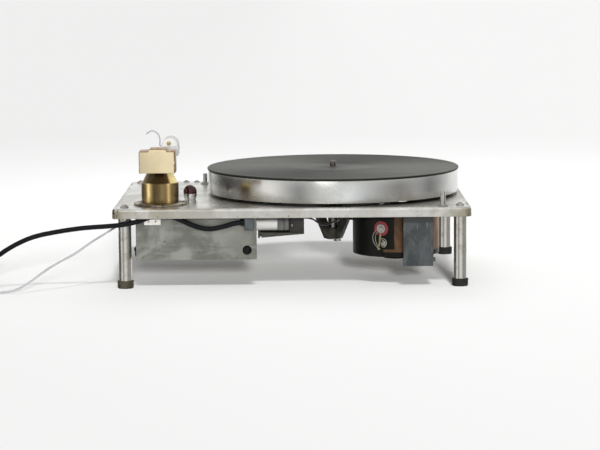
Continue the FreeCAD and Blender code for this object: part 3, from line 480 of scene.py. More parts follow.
worn_metal("control_steel", (0.66, 0.66, 0.65), (0.40, 0.38, 0.34), (0.14, 0.35), 1.0, 140, 0.3,
           stretch=(1, 1, 0.1))
worn_metal("flange_steel", (0.52, 0.46, 0.36), (0.12, 0.085, 0.045), (0.22, 0.5), 1.0, 60, 0.5,
           tint(40, 28, 18), cover=(0.42, 0.62))
worn_metal("yoke_steel", (0.48, 0.45, 0.38), (0.24, 0.20, 0.14), (0.2, 0.45), 1.0, 110, 0.3)
worn_metal("bezel_chrome", (0.80, 0.80, 0.79), (0.55, 0.53, 0.48), (0.06, 0.22), 1.0, 200, 0.25)
worn_metal("transformer_steel", (0.22, 0.22, 0.21), (0.10, 0.08, 0.06), (0.4, 0.6), 0.8, 60, 0.5)
worn_metal("idler_aluminium", (0.62, 0.62, 0.62), (0.42, 0.42, 0.41), (0.25, 0.45), 1.0, 120)
worn_metal("plug_brass", (0.70, 0.54, 0.26), (0.42, 0.30, 0.13), (0.15, 0.35), 1.0, 200)
worn_metal("signal_plug_metal", (0.66, 0.66, 0.65), (0.45, 0.44, 0.41), (0.15, 0.3), 1.0, 200)
worn_metal("tinned_tag", (0.60, 0.59, 0.54), (0.32, 0.30, 0.22), (0.2, 0.4), 1.0, 260, 0.2)
worn_metal("tag_brass", (0.36, 0.32, 0.19), (0.20, 0.17, 0.09), (0.3, 0.5), 0.9, 260)
worn_metal("spider_iron", (0.020, 0.020, 0.015), (0.065, 0.060, 0.045), (0.45, 0.7), 0.4, 120, 0.5,
           tint(70, 60, 44), grain=0.15, rounding=1.2)
worn_metal("bracket_steel", (0.055, 0.052, 0.044), (0.028, 0.025, 0.02), (0.35, 0.6), 0.5, 90, 0.3,
           tint(60, 46, 32))
worn_metal("block_zinc", (0.13, 0.13, 0.125), (0.06, 0.062, 0.062), (0.3, 0.5), 0.6, 110, 0.2)
worn_metal("clamp_steel", (0.075, 0.085, 0.088), (0.045, 0.05, 0.05), (0.35, 0.55), 0.5, 110, 0.3)
print("worn metals", len(FINISHES))

# %% [markdown]
# The plate itself needs more. It is a pale plated sheet with a soft, slightly milky
# polish. Its lip is darker and rougher than its top, its rounded bends catch the room's
# light, and the plating has chipped in small dark spots, most of all at the corners and
# along the lip's lower edge. Under and round the platter its top is painted dark as shadow.

# %% The plate's finish
f = Finish("plate", 1.2)
where = f.place()
x, y, level = f.in_mm()
clouds = f.noise(where, 22, 6, 0.6, 0.3)
fine = f.noise(where, 260, 4, 0.6)
lip = 1 - level.step(88.5, 91.2)
f.colour = f.mix((0.86, 0.86, 0.83), (0.60, 0.585, 0.53), clouds.step(0.38, 0.62))
smudges = f.noise(f.place((0.6, 1, 1)), 70, 5, 0.7, 0.5).step(0.56, 0.74)
f.coat((0.27, 0.245, 0.19), smudges * 0.6)
f.coat((0.50, 0.48, 0.42), lip * 0.5)
# Under the platter the top is painted near black as its shadow, and a broad ring round it is
# painted darker as shade from the rim.
away = f.turned(PLATTER + (0,))[3] * 1000
top = level.step(91.4, 91.9)
f.coat((0.36, 0.34, 0.28), (1 - away.step(150, 192)) * top * 0.5)
f.coat((0.035, 0.03, 0.024), (1 - away.step(145.5, 150.5)) * top * 0.95)
warm = (1 - x.step(-190, -95)).most(x.step(120, 195)) * lip
f.coat((0.36, 0.31, 0.21), warm * clouds.step(0.35, 0.6) * 0.75)
chips = f.noise(where, 330, 4, 0.62) * 0.62 + f.noise(where, 60, 3) * 0.38
corner = (1 - x.step(-203, -193)).most(x.step(188, 203))
chips = (chips + corner * 0.12 + lip * 0.014 + (1 - level.step(80, 84)) * 0.03
         + f.edge() * 0.02).step(0.648, 0.668)
f.coat(tint(66, 54, 40), chips)
roughness = clouds * 0.16 + fine * 0.10 + 0.16 + lip * 0.12 + chips * 0.3
metal = 0.92 - chips * 0.8
f.surface(roughness, metal, f.bump(fine * 0.6 + clouds - chips * 2, 0.05))
print("plate", len(f.tree.nodes), "nodes")

# %% [markdown]
# The platter is turned from solid aluminium. A lathe tool leaves fine grooves that run
# round it, and light spreads across grooves, not along them: the reflections stay sharp
# round the rim and smear up and down. That is the shader's anisotropy, turned by a
# quarter so that its long axis stands upright. The spread needs only constants. The
# grooves' own colour bands and tiny steps come from noise stretched round the axis.

# %% Turned metal
def turned_metal(name, colour, second, centre, rough=0.2, anisotropic=0.75, band=1.0,
                 blotch=0.3, metallic=1.0, depth=0.02, grooves=2600.0):
    """Metal turned on a lathe about an upright axis through centre (mm)."""
    f = Finish(name, 0.3)
    x, y, z, radius = f.turned(centre)
    rings = f.add("ShaderNodeCombineXYZ", None, {0: radius, 1: z})
    lines = f.noise(rings, grooves, 3, 0.7)
    wide = f.noise(rings, 130 * band, 3, 0.5)
    stains = f.noise(f.place(), 45, 5, 0.6, 0.6).step(0.45, 0.75)
    f.colour = f.mix(colour, second, wide * 0.4 + stains * blotch)
    roughness = lines * 0.12 + rough - 0.06 + stains * 0.1
    return f.surface(roughness, metallic, f.bump(lines, depth),
                     {"Anisotropic": anisotropic, "Anisotropic Rotation": 0.25})


turned_metal("turned_aluminium", (0.80, 0.80, 0.78), (0.58, 0.58, 0.55), PLATTER + (110,),
             0.21, 0.8)

# The pillar's upright bright and dark bands are painted reflections and highlights, laid round it
# by bearing, with another set on the cone; dark lacquer stains lie over them.
f = Finish("pillar_brass", 0.5)
x, y, z = f.parts(f.place((1, 1, 1), ARM + (110,)))
round_it = f.bearing(x, y)


def band(degrees, level, red=1.0):
    """A stop of the pillar's painted reflection bands: its bearing from the rear and how bright it
    is.
    """
    return (degrees / 360 + 0.5, (0.80 * level * red, 0.57 * level, 0.25 * level))


# Painted reflection bands round the pillar's cylinder, then round its cone.
drum_painted_bands = f.add("ShaderNodeValToRGB", {"stops": [
    band(-179, 0.5), band(-80, 0.12), band(-60, 0.32), band(-44, 0.75), band(-36, 2.1),
    band(-27, 0.60), band(-17, 0.17), band(0, 0.16), band(10, 0.30), band(22, 0.34),
    band(31, 1.35), band(40, 0.42), band(58, 0.22), band(76, 0.09), band(170, 0.5)]},
    {0: round_it})
neck_painted_bands = f.add("ShaderNodeValToRGB", {"stops": [
    band(-179, 0.3), band(-80, 0.36, 1.1), band(-58, 0.24), band(-40, 0.09), band(0, 0.075, 1.1),
    band(34, 0.11, 1.1), band(42, 1.4), band(62, 1.9), band(80, 1.1), band(170, 0.4)]},
    {0: round_it})
lines = f.noise(f.add("ShaderNodeCombineXYZ", None, {0: z}), 2400, 3, 0.7)
stains = f.noise(f.place((1, 1, 0.3)), 90, 5, 0.6, 0.6)
f.colour = f.mix(drum_painted_bands, neck_painted_bands, z.step(0.0072, 0.0082))
f.coat((0.10, 0.06, 0.02), stains.step(0.5, 0.8) * 0.5)
f.surface(lines * 0.12 + 0.14 + stains * 0.1, 0.8, f.bump(lines, 0.02))
print("turned metals", [n for n in FINISHES if "turned" in n or "pillar" in n])

# %% [markdown]
# The counterweight is a sawn and filed brass block. Its large faces are pale and softly
# brushed. Its rims, its edges and its side faces are painted brown as dark reflections.

# %% Brass block
f = Finish("weight_brass", 1.1)
where = f.place()
brushed = f.noise(f.place((0.05, 1, 1)), 900, 3, 0.6)
clouds = f.noise(where, 60, 5, 0.6)
f.colour = f.mix((1.0, 0.86, 0.56), (0.90, 0.75, 0.45), clouds.step(0.45, 0.75) * 0.7)
x, y, z = f.in_mm()
# The brown rims along the edges of the faces are painted dark reflections in the chamfers.
raised = x.between(-160.4, -140.6, 1.0)
rims = (1 - x.step(-171.2, -170.3)).most(x.step(-132.6, -131.6))
rims = rims.most((z - raised * 2.7).step(155.7, 156.5))
f.coat((0.30, 0.13, 0.05), rims * f.noise(where, 260).step(0.3, 0.5) * 0.85)
# The side faces are painted brown as a dark reflection.
across, along, level = f.parts(f.add("ShaderNodeNewGeometry", out="True Normal"))
side = (across * across).step(0.2, 0.6)
f.coat((0.30, 0.175, 0.08), side * 0.9)
# Broken brown patches on the edges are painted dark reflection too.
f.coat((0.30, 0.14, 0.045), f.edge() * f.noise(where, 300).step(0.2, 0.45))
f.surface(clouds * 0.15 + 0.22 + brushed * 0.1, 1.0, f.bump(brushed, 0.02))
print("weight_brass", len(f.tree.nodes), "nodes")

# %% [markdown]
# The power box is soft aluminium sheet, never polished. It has gone dull and blotchy,
# with rubbed streaks, a few dents and darker grime along its lower edge. The motor's
# can is bare copper that has browned, and the junction box has blue-grey paint that is
# scuffed at the edges.

# %% Sheet boxes and the copper can
f = Finish("box_aluminium", 0.6)
where = f.place()
x, y, z = f.in_mm()
clouds = f.noise(where, 26, 6, 0.62, 0.8)
rubbed = f.noise(f.place((0.22, 1, 1)), 120, 5, 0.6, 0.3)
grime = (1 - z.step(34, 46)) * clouds.step(0.3, 0.6)
f.colour = f.mix((0.31, 0.315, 0.28), (0.165, 0.17, 0.145), clouds.step(0.36, 0.62))
# Towards its top the front is painted darker as the shadow of the plate's lip; towards its +X end
# it is made darker.
f.coat((0.13, 0.13, 0.11), z.step(62, 84) * 0.6)
f.coat((0.15, 0.155, 0.13), x.step(-110, -50) * 0.45)
f.coat((0.38, 0.385, 0.35), rubbed.step(0.55, 0.72) * 0.4)
f.coat((0.11, 0.11, 0.09), (1 - rubbed.step(0.30, 0.44)) * 0.5)
f.coat((0.15, 0.15, 0.13), grime * 0.45)
dents = f.cells(where, 34).step(0.02, 0.10)
specks = f.noise(where, 300, 3, 0.6).step(0.68, 0.71)
f.coat(tint(64, 62, 54), specks * 0.8)
f.surface(clouds * 0.2 + 0.36, 0.75,
          f.bump(clouds * 1.5 + rubbed * 0.25 + dents * 0.5, 0.35))

f = Finish("motor_copper", 0.5)
where = f.place()
clouds = f.noise(f.place((1, 1, 0.4)), 50, 5, 0.6, 0.5)
f.colour = f.mix((0.27, 0.145, 0.075), (0.085, 0.05, 0.03), clouds.step(0.36, 0.62))
f.coat((0.30, 0.17, 0.09), f.edge() * 0.6)
f.surface(clouds * 0.25 + 0.28, 0.85, f.bump(clouds, 0.06))

f = Finish("junction_paint", 0.7)
where = f.place()
x, y, z = f.in_mm()
clouds = f.noise(f.place((1, 1, 0.5)), 55, 6, 0.65, 0.5)
scuffs = f.noise(f.place((1, 1, 0.15)), 330, 4, 0.65).step(0.60, 0.70)
f.colour = f.mix((0.058, 0.064, 0.066), (0.030, 0.034, 0.035), clouds.step(0.4, 0.64))
f.coat((0.21, 0.235, 0.235), scuffs * 0.45)
# Above the middle of its height the front is painted dark as the shade under the plate's lip.
f.coat((0.03, 0.033, 0.031), z.step(73.0, 74.6))
f.coat((0.26, 0.27, 0.26), f.edge() * clouds.step(0.4, 0.6) * 0.7)
f.surface(clouds * 0.2 + 0.34, 0.35, f.bump(clouds + scuffs * 0.4, 0.08))
print("boxes and can done, finishes", len(FINISHES))

# %% [markdown]
# Rubber, paint and plastic share another family: a colour that barely varies, a film of
# dust in the hollows, and a fine grain that breaks up the shine.

# %% Moulded and painted finishes
def moulded(name, colour, dust=None, rough=0.45, grain=(900.0, 0.04), dusty=(0.5, 0.8),
            cloud=60.0, rounding=0.4, constants=None):
    """Plastic, rubber or paint: an even colour under a thin, uneven film of dust."""
    f = Finish(name, rounding)
    where = f.place()
    film = f.noise(where, cloud, 5, 0.6).step(*dusty)
    fine = f.noise(where, grain[0], 3, 0.6)
    f.colour = f.mix(colour, dust or tuple(c * 0.75 for c in colour), film * 0.6)
    return f.surface(film * 0.18 + rough + (fine - 0.5) * 0.1, 0.0,
                     f.bump(fine, grain[1]), constants)


moulded("motor_black", (0.0035, 0.0035, 0.003), (0.008, 0.007, 0.006), 0.34,
        constants={"Specular IOR Level": 0.15})
moulded("coil_tape", (0.30, 0.22, 0.08), (0.18, 0.13, 0.06), 0.5)
moulded("red_fibre", (0.115, 0.016, 0.018), (0.05, 0.009, 0.009), 0.5)
moulded("board_brown", (0.12, 0.06, 0.025), (0.16, 0.10, 0.05), 0.5)
moulded("black_gloss", (0.002, 0.002, 0.0025), (0.004, 0.004, 0.004), 0.06, (500.0, 0.002),
        constants={"Specular IOR Level": 0.25})
moulded("white_nylon", (0.45, 0.44, 0.41), (0.33, 0.31, 0.26), 0.4, rounding=0.25)
moulded("capacitor_sleeve", (0.43, 0.425, 0.405), (0.33, 0.315, 0.28), 0.42, (400.0, 0.02))
moulded("switch_phenolic", (0.014, 0.012, 0.009), (0.03, 0.025, 0.019), 0.35)
moulded("phenolic_mark", (0.12, 0.12, 0.11), None, 0.4)
moulded("arm_enamel", (0.45, 0.445, 0.425), (0.36, 0.34, 0.30), 0.28, (300.0, 0.03), (0.52, 0.85))
moulded("rest_white", (0.50, 0.49, 0.47), (0.48, 0.46, 0.41), 0.4)
moulded("cartridge_black", (0.014, 0.013, 0.013), (0.03, 0.028, 0.026), 0.3)
moulded("lift_wire", (0.26, 0.245, 0.30), (0.17, 0.15, 0.17), 0.3)
moulded("wire_brown", (0.018, 0.011, 0.007), (0.035, 0.022, 0.014), 0.4)
moulded("wire_black", (0.008, 0.008, 0.008), (0.03, 0.028, 0.025), 0.38)
moulded("wire_pale", (0.17, 0.185, 0.14), (0.09, 0.095, 0.07), 0.4)
moulded("mains_pvc", (0.0035, 0.0038, 0.0048), (0.01, 0.01, 0.01), 0.26, (700.0, 0.012),
        (0.55, 0.85), constants={"Specular IOR Level": 0.14})
moulded("plug_black", (0.006, 0.006, 0.006), (0.02, 0.02, 0.02), 0.42, (1200.0, 0.05))
moulded("signal_pvc", (0.30, 0.295, 0.30), (0.19, 0.185, 0.18), 0.4, (600.0, 0.01))
moulded("tie_tape", (0.03, 0.03, 0.032), (0.06, 0.06, 0.06), 0.75, (2200.0, 0.12))
moulded("jewel_red", (0.018, 0.0005, 0.002), (0.010, 0.0003, 0.001), 0.07, (200.0, 0.0),
        constants={"Coat Weight": 0.3, "Coat Roughness": 0.03})

f = Finish("foot_rubber", 0.6)
where = f.place()
x, y, z = f.parts(where)
film = f.noise(where, 90, 5, 0.65)
faded = (1 - x.step(-0.1, 0.1)) * (1 - y.step(-0.1, 0.1))
f.colour = f.mix((0.006, 0.0058, 0.0055), (0.022, 0.02, 0.016), film.step(0.5, 0.75) * 0.7)
brown = f.mix((0.045, 0.04, 0.024), (0.018, 0.015, 0.009), film.step(0.4, 0.6))
f.coat(brown, faded * 0.9)
f.surface(film * 0.2 + 0.5, 0.0, f.bump(film + f.noise(where, 800, 2) * 0.5, 0.1))
print("finishes", len(FINISHES))

# %% [markdown]
# The mat is ribbed black rubber that has gone grey. Seen at a low angle it mirrors the
# room in broad soft patches; its shine comes from a fairly low roughness with a film of
# dust, and its colour carries broad paler wedges as a painted sheen. The ribs follow circles round
# the spindle.

# %% Mat rubber
f = Finish("mat_rubber", 0.3)
spot = f.place((1, 1, 1), PLATTER + (MAT_TOP,))
x, y, z, radius = f.turned(PLATTER + (MAT_TOP,))
rings = f.add("ShaderNodeCombineXYZ", None, {0: radius})
lines = f.noise(rings, 1800, 3, 0.7)
film = f.noise(f.place((0.35, 1, 1)), 28, 6, 0.62, 0.6)
# Broad paler wedges beside a dark one across the middle are a painted sheen, laid round the
# spindle.
turned_to = f.add("ShaderNodeMath", {"operation": "ARCTAN2"}, {0: y, 1: x})
painted_sheen_lobes = f.add("ShaderNodeMath", {"operation": "COSINE"}, {0: turned_to * 2 + 0.9})
pale = (painted_sheen_lobes * 0.5 + 0.5) * (radius.step(0.0, 0.03))
f.colour = f.mix((0.016, 0.017, 0.0145), (0.085, 0.088, 0.074), pale)
f.coat((0.085, 0.084, 0.072), film.step(0.45, 0.75) * 0.6)
f.coat((0.11, 0.105, 0.09), f.noise(spot, 700, 3, 0.7).step(0.62, 0.75) * 0.5)
# The mat's edge, below its top, is painted near black as the shade under its overhang.
f.coat((0.0025, 0.0025, 0.002), 1 - z.step(-0.0011, -0.0004))
f.surface(film * 0.3 + 0.32 + lines * 0.08, 0.0, f.bump(lines, 0.05))
print("mat_rubber", len(f.tree.nodes), "nodes")

# %% [markdown]
# ## Tools for making pieces
# A piece starts as a bmesh. `turn` spins an outline round an axis, as a lathe would;
# `slab` is a block with bevelled edges; `prism` pushes an outline along a direction.
# `piece` makes the result an object that rides on a body, takes its slot and stands for
# the CAD nodes it replaces. All sizes are in millimetres until they enter the mesh.

# %% Mesh helpers
FACET = math.radians(32)


def turn(bm, outline, centre, axis=(0, 0, 1), steps=72):
    """Spin an outline of (radius, height) points about an axis through centre."""
    axis = Vector(axis).normalized()
    outward = axis.orthogonal().normalized()
    centre = Vector(centre)
    verts = [bm.verts.new((centre + outward * r + axis * h) * MM) for r, h in outline]
    edges = [bm.edges.new(pair) for pair in zip(verts, verts[1:])]
    bmesh.ops.spin(bm, geom=verts + edges, cent=centre * MM, axis=axis, angle=2 * math.pi,
                   steps=steps, use_merge=True)
    bmesh.ops.remove_doubles(bm, verts=bm.verts, dist=1e-7)


def bevel_all(bm, verts, width, segments):
    edges = {edge for vert in verts for edge in vert.link_edges}
    bmesh.ops.bevel(bm, geom=list(edges), offset=width * MM, offset_type="OFFSET",
                    affect="EDGES", segments=segments, profile=0.5, material=-1)


def slab(bm, x, y, z, bevel=0.4, segments=2, matrix=None):
    """A block between (low, high) pairs, with rounded edges."""
    size = [b - a for a, b in (x, y, z)]
    middle = [(a + b) / 2 for a, b in (x, y, z)]
    verts = bmesh.ops.create_cube(bm, size=1)["verts"]
    bmesh.ops.scale(bm, vec=[s * MM for s in size], verts=verts)
    bmesh.ops.translate(bm, vec=[m * MM for m in middle], verts=verts)
    if matrix:
        bmesh.ops.transform(bm, matrix=matrix, verts=verts)
    bevel_all(bm, verts, bevel, segments)


def prism(bm, outline, push, bevel=0.4, segments=2):
    """An outline pushed along a vector, with rounded edges."""
    face = bm.faces.new([bm.verts.new(Vector(p) * MM) for p in outline])
    pushed = bmesh.ops.extrude_face_region(bm, geom=[face])["geom"]
    far = [item for item in pushed if isinstance(item, bmesh.types.BMVert)]
    bmesh.ops.translate(bm, vec=Vector(push) * MM, verts=far)
    bevel_all(bm, list(face.verts) + far, bevel, segments)


def fit(made, body, finish, stands_for):
    """Give an object its finish, its body and the CAD nodes it stands for."""
    made.data.materials.append(FINISHES[finish])
    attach(made, body)
    if stands_for:
        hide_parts(*stands_for)
    return made


def piece(name, bm, body, finish, stands_for=()):
    """Make a finished bmesh a piece of the player, with its finish as its material."""
    bmesh.ops.recalc_face_normals(bm, faces=bm.faces)
    mesh = bpy.data.meshes.new(name)
    bm.to_mesh(mesh)
    bm.free()
    mesh.shade_smooth()
    mesh.set_sharp_from_angle(angle=FACET)
    made = stand(name, mesh)
    print(name, "faces", len(mesh.polygons))
    return fit(made, body, finish, stands_for)


def turned_piece(name, outline, centre, body, finish, stands_for=(), axis=(0, 0, 1),
                 steps=72):
    """A piece that is one spun outline."""
    bm = bmesh.new()
    turn(bm, outline, centre, axis, steps)
    return piece(name, bm, body, finish, stands_for)


def wire(name, points, radius, finish, body="chassis", stands_for=()):
    """A thin smooth wire through control points."""
    made = cord_curve(name, points, radius * 2, 8)
    made.data.bevel_resolution = 3
    return fit(made, body, finish, stands_for)


def dome_outline(radius, height, points=8):
    """The outline of a cap cut from a ball, from its edge to its crown."""
    ball = (radius ** 2 + height ** 2) / (2 * height)
    rim = math.asin(min(1, radius / ball))
    return [(ball * math.sin(rim * (1 - i / points)),
             ball * math.cos(rim * (1 - i / points)) - ball + height) for i in range(points + 1)]


def slotted_head(bm, centre, axis, radius, height, slot=0.9, bearing=30.0):
    """A domed screw head: a low disc with half a dome standing each side of its slot."""
    floor_level = height * 0.4
    turn(bm, [(0, 0), (radius, 0), (radius, floor_level * 0.6), (radius * 0.97, floor_level),
              (0, floor_level)], centre, axis, 32)
    axis = Vector(axis).normalized()
    across = Matrix.Rotation(math.radians(bearing), 3, axis) @ axis.orthogonal().normalized()
    for side in (-1, 1):
        half = bmesh.new()
        turn(half, [(0, 0)] + [(r * 0.985, h) for r, h in dome_outline(radius, height)], centre,
             axis, 32)
        cut = (Vector(centre) + across * side * slot / 2) * MM
        bmesh.ops.bisect_plane(half, geom=half.verts[:] + half.edges[:] + half.faces[:],
                               plane_co=cut, plane_no=-across * side, clear_outer=True)
        open_edges = [edge for edge in half.edges if edge.is_boundary]
        bmesh.ops.contextual_create(half, geom=open_edges)
        shape = bpy.data.meshes.new("half")
        half.to_mesh(shape)
        half.free()
        bm.from_mesh(shape)
        bpy.data.meshes.remove(shape)


# %% [markdown]
# ## The ends of the leads
# The mains lead ends in a plain two-pin plug and the signal lead in a small round one.
# Tape ties hold the coils. The mains lead leaves its clamp through a tapered sleeve.

# %% Plugs, ties and the sleeve
bm = bmesh.new()
slab(bm, (-389, -361), (-96.5, -77.5), (27.5, 41.5), 3.6, 4)
turn(bm, [(0, 0), (3.6, 0), (4.6, 3), (5.6, 12), (0, 12)], (-397, -87, 34.5), (1, 0, 0), 40)
for rib in range(4):
    slab(bm, (-384 + rib * 3.2, -382.6 + rib * 3.2), (-97.1, -76.9), (30, 39), 0.3, 1)
plug_body = piece("mains_plug_body", bm, "chassis", "plug_black", ["mains_plug"])
bm = bmesh.new()
for side in (-6, 6):
    turn(bm, [(0, 0), (2, 0), (2, 17.5), (1.6, 18.6), (0.8, 19), (0, 19)],
         (-361.3, -87 + side, 34.5), (1, 0, 0), 28)
plug_pins = piece("mains_plug_pins", bm, "chassis", "plug_brass")

signal_plug = turned_piece("signal_plug_shell", [(0, 0), (3.0, 0), (4.2, 3), (4.6, 5), (4.6, 17),
    (4.3, 18), (4.3, 19), (4.6, 19.6), (4.1, 20), (4.1, 24.5), (3.6, 25), (1.6, 25), (1.6, 29.5),
    (1.0, 30), (0, 30)], (-342, -176, 14.2), "chassis", "signal_plug_metal", ["signal_plug"],
    axis=(-1, 0, 0), steps=40)


def tie(name, centre, mean, bearing, half_width, height, length):
    """A tape band round a coil, at a bearing in degrees."""
    band = bmesh.new()
    turned = (Matrix.Translation((centre[0] * MM, centre[1] * MM, 0))
              @ Matrix.Rotation(math.radians(bearing), 4, "Z")
              @ Matrix.Translation((mean * MM, 0, height / 2 * MM)))
    slab(band, (-half_width - 0.7, half_width + 0.7), (-length / 2, length / 2),
         (-height / 2, height / 2 + 0.6), 1.6, 3, turned)
    return piece(name, band, "chassis", "tie_tape")


mains_ties = [tie(f"mains_tie_{i}", MAINS_COIL, MAINS_MEAN, b, 5.5, 27.5, 9)
              for i, b in enumerate((205, 330))]
signal_tie = tie("signal_tie", SIGNAL_COIL, SIGNAL_MEAN, 250, 3.6, 9.6, 6)

sleeve = turned_piece("mains_lead_sleeve", [(2.8, 0), (3.9, 0), (3.9, 3.4), (3.2, 5.5),
    (2.8, 5.5)], (-53.2, CORD_Y, 75.6), "chassis", "mains_pvc", axis=(-1, 0, 0), steps=40)

for lead, finish, nodes, exit_point, length, diameter, pieces_on in (
        (mains_lead, "mains_pvc", ["mains_lead", "mains_coil"], MAINS_EXIT, 1.80, MAINS_DIAMETER,
         [plug_body, plug_pins, sleeve] + mains_ties),
        (signal_lead, "signal_pvc", ["signal_lead", "signal_coil"], SIGNAL_EXIT, 1.08,
         SIGNAL_DIAMETER, [signal_plug, signal_tie])):
    fit(lead, "chassis", finish, nodes)
    tuple(c * MM for c in exit_point)
    diameter * MM

# %% [markdown]
# ## Feet, caps and screws
# Each leg ends in a moulded rubber cup that has spread under the weight, and a domed
# screw holds it to the plate from above. The panel's own screws are slotted pan heads.

# %% Feet
LEGS = {"rear_arm_side": (-189.8, -137), "rear_motor_side": (191, -137),
        "front_arm_side": (-189.8, 127), "front_motor_side": (191, 127)}
for which, (x, y) in LEGS.items():
    turned_piece(f"foot_cup_{which}", [(0, 3), (7.35, 3), (7.35, 8.0), (7.8, 8.6), (8.8, 8.6),
        (9.3, 8.0), (9.4, 7.2), (9.1, 5.6), (9.2, 2.8), (9.0, 0.9), (8.4, 0), (0, 0)], (x, y, 0),
        "chassis", "foot_rubber", [f"foot_{which}"], steps=48)

# %% Cap screws and panel screws
PAN_HEAD = (3.6, 2.4, 0.8)  # radius, height and width of the slot
SHANK = 1.95
bm = bmesh.new()
for i, (x, y) in enumerate(LEGS.values()):
    slotted_head(bm, (x, y, PLATE_TOP), (0, 0, 1), 4.75, 3.6, 1.0, 25 + 47 * i)
    turn(bm, [(0, -12), (2.95, -12), (2.95, 0.1), (0, 0.1)], (x, y, PLATE_TOP), steps=24)
piece("leg_cap_heads", bm, "chassis", "cap_metal", ["leg_cap_screws"])

bm = bmesh.new()
spider_screws = [(49 + 39.5 * math.cos(a), 5 + 39.5 * math.sin(a))
                 for a in map(math.radians, (30, 150, 210, 330))]
box_screws = [(x, y) for x in (-169.8, -50.0) for y in (-132.0, -88.0)]
motor_screws = [(121 + 38 * math.cos(a), -85 + 38 * math.sin(a))
                for a in map(math.radians, (60, 165, 240))]
front_screws = [(-133.0, 135.0), (-120.0, 135.0)]
for i, (x, y) in enumerate(motor_screws + front_screws):
    slotted_head(bm, (x, y, PLATE_TOP), (0, 0, 1), *PAN_HEAD, 31 * i)
    turn(bm, [(0, -5), (SHANK, -5), (SHANK, 0.1), (0, 0.1)], (x, y, PLATE_TOP), steps=20)
for seat, group in ((PLATE_UNDER - 1.5, spider_screws), (PLATE_UNDER - 1.2, box_screws)):
    for i, (x, y) in enumerate(group):
        slotted_head(bm, (x, y, seat), (0, 0, -1), *PAN_HEAD, 53 * i)
        turn(bm, [(0, -0.1), (SHANK, -0.1), (SHANK, PLATE_TOP - seat), (0, PLATE_TOP - seat)],
             (x, y, seat), steps=20)
piece("panel_screw_heads", bm, "chassis", "screw_steel", ["panel_screws"])

# %% [markdown]
# ## Platter, mat and spindle
# The platter is one spun outline: a deep rim with small chamfers, a thin web and a hub.
# Its mesh is centred on the axis and has no live modifier, which the anisotropic
# shader's own tangent needs. The mat is spun too, with a raised border, flat ribs and
# a dished label area, so that its surface is real shape.

# %% The platter
turned_piece("platter_turned", [(4.0, 104.5), (14.4, 104.5), (15, 105.1), (15, 117.3), (16, 117.3),
    (138, 117.3), (140, 115.3), (140, 95.8), (140.6, 95.2), (148.3, 95.2), (148.8, 95.3),
    (149, 95.7), (149, 120.2), (148.6, 120.9), (147.8, 121.3), (4.0, 121.3), (4.0, 104.5)], PLATTER
    + (0,), "platter", "turned_aluminium", ["platter"], steps=256)

# %% The mat
outline = [(4.3, 121.3), (148.9, 121.3), (149.8, 121.9), (150, 122.6), (149.9, 123.5),
           (149.2, 124.0), (143, 124.0), (142.4, 123.6)]
rib = 141.0
while rib > 56:
    outline += [(rib, 123.6), (rib - 0.4, 123.8), (rib - 3.1, 123.8), (rib - 3.5, 123.6)]
    rib -= 4.4
outline += [(52, 123.6), (51.6, 123.75), (50, 123.75), (49.6, 123.6), (6.6, 123.6), (6.0, 123.7),
            (4.6, 123.7), (4.3, 123.4), (4.3, 121.3)]
turned_piece("mat_ribbed", outline, PLATTER + (0,), "platter", "mat_rubber", ["platter_mat"],
    steps=192)

# %% The spindle
turned_piece("spindle_pin", [(0, 47), (3.6, 47), (4.0, 47.6), (4.0, 123.6), (3.55, 124),
    (3.55, 128.6), (3.3, 129.4), (2.5, 130.1), (1.3, 130.45), (0, 130.5)], PLATTER + (0,),
    "platter", "spindle_steel", ["spindle"], steps=48)

# %% [markdown]
# ## Tonearm
# The rear of the arm carries a sawn brass block with a raised middle. Below it a turned
# brass pillar stands on a wide washer. The headshell at the far end is a cream arch
# with one slotted brass screw, and a thin wire hook lifts the arm.

# %% Counterweight
bm = bmesh.new()
prism(bm, [(-171.5, -153, 132.2), (-130.7, -153, 132.2), (-130.7, -153, 157),
           (-139.5, -153, 157), (-142, -153, 159.7), (-159, -153, 159.7), (-161.5, -153, 157),
           (-171.5, -153, 157)], (0, 28.5, 0), 0.7, 3)
piece("counterweight_block", bm, "arm", "weight_brass", ["counterweight"])

# %% Pillar and washer
turned_piece("pillar_turned", [(4.05, 80), (9.6, 80), (10, 80.4), (10, 85.5), (14.4, 85.5),
    (15, 86), (15, 90.2), (10, 90.5), (10, 95), (20.2, 95), (21.0, 95.4), (21.3, 96.2),
    (21.3, 116.4), (21.0, 117.2), (20.3, 117.8), (14.0, 130.4), (13.3, 131), (4.6, 131),
    (4.05, 130.4), (4.05, 80)], ARM + (0,), "chassis", "pillar_brass", ["arm_pillar"], steps=128)
turned_piece("washer_turned", [(10, 92), (30, 92), (30.5, 92.6), (30.4, 93.9), (29.3, 94.7),
    (25.5, 95), (24.9, 94.6), (23.8, 94.6), (23.2, 95), (10, 95), (10, 92)], ARM + (0,), "chassis",
    "flange_steel", ["arm_base_flange"], steps=128)

# %% Headshell
HEAD_X, HEAD_RADIUS = -152.2, 10.3


def arch_outline(radius, bottom, top, y, points=20):
    """An upright outline with a half-round top, as points in a plane of constant y."""
    centre = top - radius
    arc = [(HEAD_X + radius * math.cos(math.pi * i / points), y,
            centre + radius * math.sin(math.pi * i / points)) for i in range(points + 1)]
    return [(HEAD_X + radius, y, bottom)] + arc + [(HEAD_X - radius, y, bottom)]


